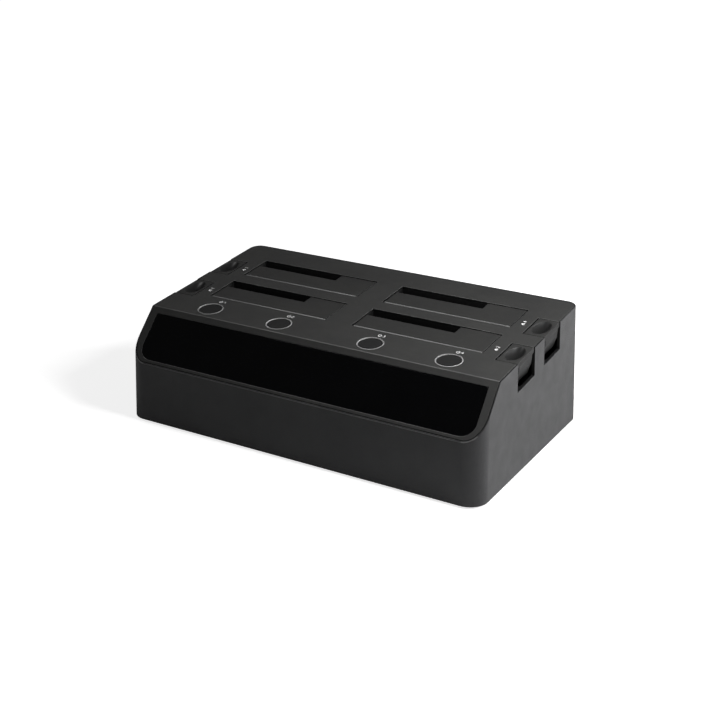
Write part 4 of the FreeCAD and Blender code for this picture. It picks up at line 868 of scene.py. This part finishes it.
for number in BAYS:
    low, high = (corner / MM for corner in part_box(f"drive_socket_{number}"))
    gold = bmesh.new()
    slot_y = high.y - SLOT_REAR - SLOT_HALF
    for start, count in ((SLOT_END + 1.9, 7), (SLOT_END + DATA_LONG + SLOT_GAP + 2.1, 15)):
        for step in range(count):
            x = low.x + start + CONTACT_PITCH * step
            add_tube(gold, [Vector((x, slot_y + y, high.z + z)) for y, z in CONTACT_BEND], CONTACT_WIRE, 6)
    finished(f"socket_contacts_{number}", gold, GOLD, "base", smooth=True)
    well_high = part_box(f"drive_well_{number}")[1] / MM
    flap_low, flap_high = (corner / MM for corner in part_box(f"flap_{number}"))
    ribs = bmesh.new()
    rear = well_high.y - WELL_WALL
    top, foot = flap_low.z - 12.0, high.z + 4.0
    for share in (0.12, 0.37, 0.63, 0.88):
        x = flap_low.x + share * (flap_high.x - flap_low.x)
        add_block(ribs, (RIB_WIDE, RIB_DEEP, top - foot),
                  Matrix.Translation((x, rear - RIB_SUNK, (top + foot) / 2)), 0.4)
    # The ribs take the wells' painted shade too.
    finished(f"well_ribs_{number}", ribs, WELL_SHADE, "base")

# ---------------------------------------------------------------- camera and light

# The photograph's view, from a camera fitted to the object's outline and bays.
AIM = Vector((-2.66, 15.16, 40.95)) * MM
AZIMUTH, ELEVATION, DISTANCE = radians(30.51), radians(22.34), 0.9529
SENSOR, LENS = 36.0, 63.07

camera_data = bpy.data.cameras.new("camera")
camera = bpy.data.objects.new("camera", camera_data)
bpy.context.scene.collection.objects.link(camera)
bpy.context.scene.camera = camera
back = Vector((sin(AZIMUTH) * cos(ELEVATION), -cos(AZIMUTH) * cos(ELEVATION), sin(ELEVATION)))
camera.location = AIM + back * DISTANCE
camera.rotation_euler = back.to_track_quat("Z", "Y").to_euler()
camera_data.sensor_width = SENSOR
camera_data.lens = LENS


def lamp(name, spot, aim, side, power):
    """A square white softbox, its side in metres and its power in watts."""
    data = bpy.data.lights.new(name, "AREA")
    data.shape = "RECTANGLE"
    data.size = data.size_y = side
    data.energy = power
    thing = bpy.data.objects.new(name, data)
    bpy.context.scene.collection.objects.link(thing)
    thing.location = spot
    thing.rotation_euler = (Vector(spot) - Vector(aim)).to_track_quat("Z", "Y").to_euler()
    thing.visible_camera = False


lamp("right_softbox", (0.78, 0.52, 0.37), (0.1, 0.0, 0.05), side=0.3, power=8.1)
lamp("top_softbox", (-0.42, 0.06, 0.92), (0.0, 0.0, 0.05), side=0.22, power=0.6)
lamp("near_softbox", (0.30, -0.05, 0.38), (0.1, -0.04, 0.08), side=0.12, power=1.9)

SOFT_LIGHT = 0.052  # the world's even light on the object
HORIZON = 0.22  # the white walls fade into the ceiling between level and a ray that rises by this share
CEILING = (0.035, 0.035, 0.035, 1.0)
WHITE = (1.0, 1.0, 1.0, 1.0)


def make_world():
    """White where the camera looks; reflections see white walls under a dark ceiling; the rest is soft light."""
    world = bpy.data.worlds.new("studio")
    bpy.context.scene.world = world
    world.use_nodes = True
    sky = world.node_tree
    for old in list(sky.nodes):
        sky.nodes.remove(old)

    def either(one, two):
        made = sky.nodes.new("ShaderNodeMath")
        made.operation = "MAXIMUM"
        sky.links.new(one, made.inputs[0])
        sky.links.new(two, made.inputs[1])
        return made.outputs[0]

    split = sky.nodes.new("ShaderNodeSeparateXYZ")
    sky.links.new(sky.nodes.new("ShaderNodeTexCoord").outputs["Generated"], split.inputs[0])
    wall = sky.nodes.new("ShaderNodeMapRange")
    wall.interpolation_type = "SMOOTHSTEP"
    wall.inputs["From Min"].default_value = 0.0
    wall.inputs["From Max"].default_value = HORIZON
    wall.inputs["To Min"].default_value = 1.0
    wall.inputs["To Max"].default_value = 0.0
    sky.links.new(split.outputs["Z"], wall.inputs["Value"])
    rays = sky.nodes.new("ShaderNodeLightPath").outputs
    room = sky.nodes.new("ShaderNodeMix")
    room.data_type = "RGBA"
    room.inputs[6].default_value = CEILING
    room.inputs[7].default_value = WHITE
    sky.links.new(either(wall.outputs[0], rays["Is Camera Ray"]), room.inputs[0])
    seen = sky.nodes.new("ShaderNodeBackground")
    seen.inputs["Strength"].default_value = 1.0
    sky.links.new(room.outputs[2], seen.inputs["Color"])
    soft = sky.nodes.new("ShaderNodeBackground")
    soft.inputs["Color"].default_value = WHITE
    soft.inputs["Strength"].default_value = SOFT_LIGHT
    choice = sky.nodes.new("ShaderNodeMixShader")
    shown = either(either(rays["Is Camera Ray"], rays["Is Glossy Ray"]), rays["Is Transmission Ray"])
    sky.links.new(shown, choice.inputs[0])
    sky.links.new(soft.outputs[0], choice.inputs[1])
    sky.links.new(seen.outputs[0], choice.inputs[2])
    sky.links.new(choice.outputs[0], sky.nodes.new("ShaderNodeOutputWorld").inputs["Surface"])


def floor_material():
    """Pale floor: lit like paper, and lifted towards white, more so away from the object, where the camera or
    a reflection sees it."""
    s = Shader("floor_paper")
    tree = s.tree
    paper = s.shades(s.noise(6.0, detail=3.0), (0.80, 0.80, 0.80), (0.82, 0.82, 0.82))
    s.set(Base_Color=paper, Roughness=0.9, Specular_IOR_Level=0.0)
    rays = tree.nodes.new("ShaderNodeLightPath")
    away = tree.nodes.new("ShaderNodeVectorMath")
    away.operation = "LENGTH"
    tree.links.new(s.where, away.inputs[0])
    near = s.spread(away.outputs["Value"], 0.3, 1.5, 0.78, 1.0)
    beside = s.spread(away.outputs["Value"], 0.15, 0.45, 0.0, 0.42)
    lift = tree.nodes.new("ShaderNodeEmission")
    lift.inputs["Color"].default_value = WHITE
    to_camera = s.math("MULTIPLY", near, rays.outputs["Is Camera Ray"])
    s.feed(lift.inputs["Strength"], s.math("MAXIMUM", beside, to_camera))
    both = tree.nodes.new("ShaderNodeAddShader")
    tree.links.new(s.bsdf.outputs[0], both.inputs[0])
    tree.links.new(lift.outputs[0], both.inputs[1])
    shown = s.math("MAXIMUM", s.math("MAXIMUM", rays.outputs["Is Camera Ray"], rays.outputs["Is Glossy Ray"]),
                   rays.outputs["Is Transmission Ray"])
    choice = tree.nodes.new("ShaderNodeMixShader")
    tree.links.new(shown, choice.inputs[0])
    tree.links.new(s.bsdf.outputs[0], choice.inputs[1])
    tree.links.new(both.outputs[0], choice.inputs[2])
    tree.links.new(choice.outputs[0], tree.nodes["Material Output"].inputs["Surface"])
    return s.material


FLOOR_REACH = 12.0
FLOOR_LEVEL = -0.1 * MM  # a hair under the feet, so that the two surfaces don't fight


def make_floor():
    """A wide square under the object."""
    corners = [(x * FLOOR_REACH, y * FLOOR_REACH, FLOOR_LEVEL) for x, y in ((-1, -1), (1, -1), (1, 1), (-1, 1))]
    mesh = bpy.data.meshes.new("floor")
    mesh.from_pydata(corners, [], [(0, 1, 2, 3)])
    floor = make_object("floor", mesh, floor_material())


make_world()
make_floor()

bpy.context.scene.view_settings.view_transform = "Standard"
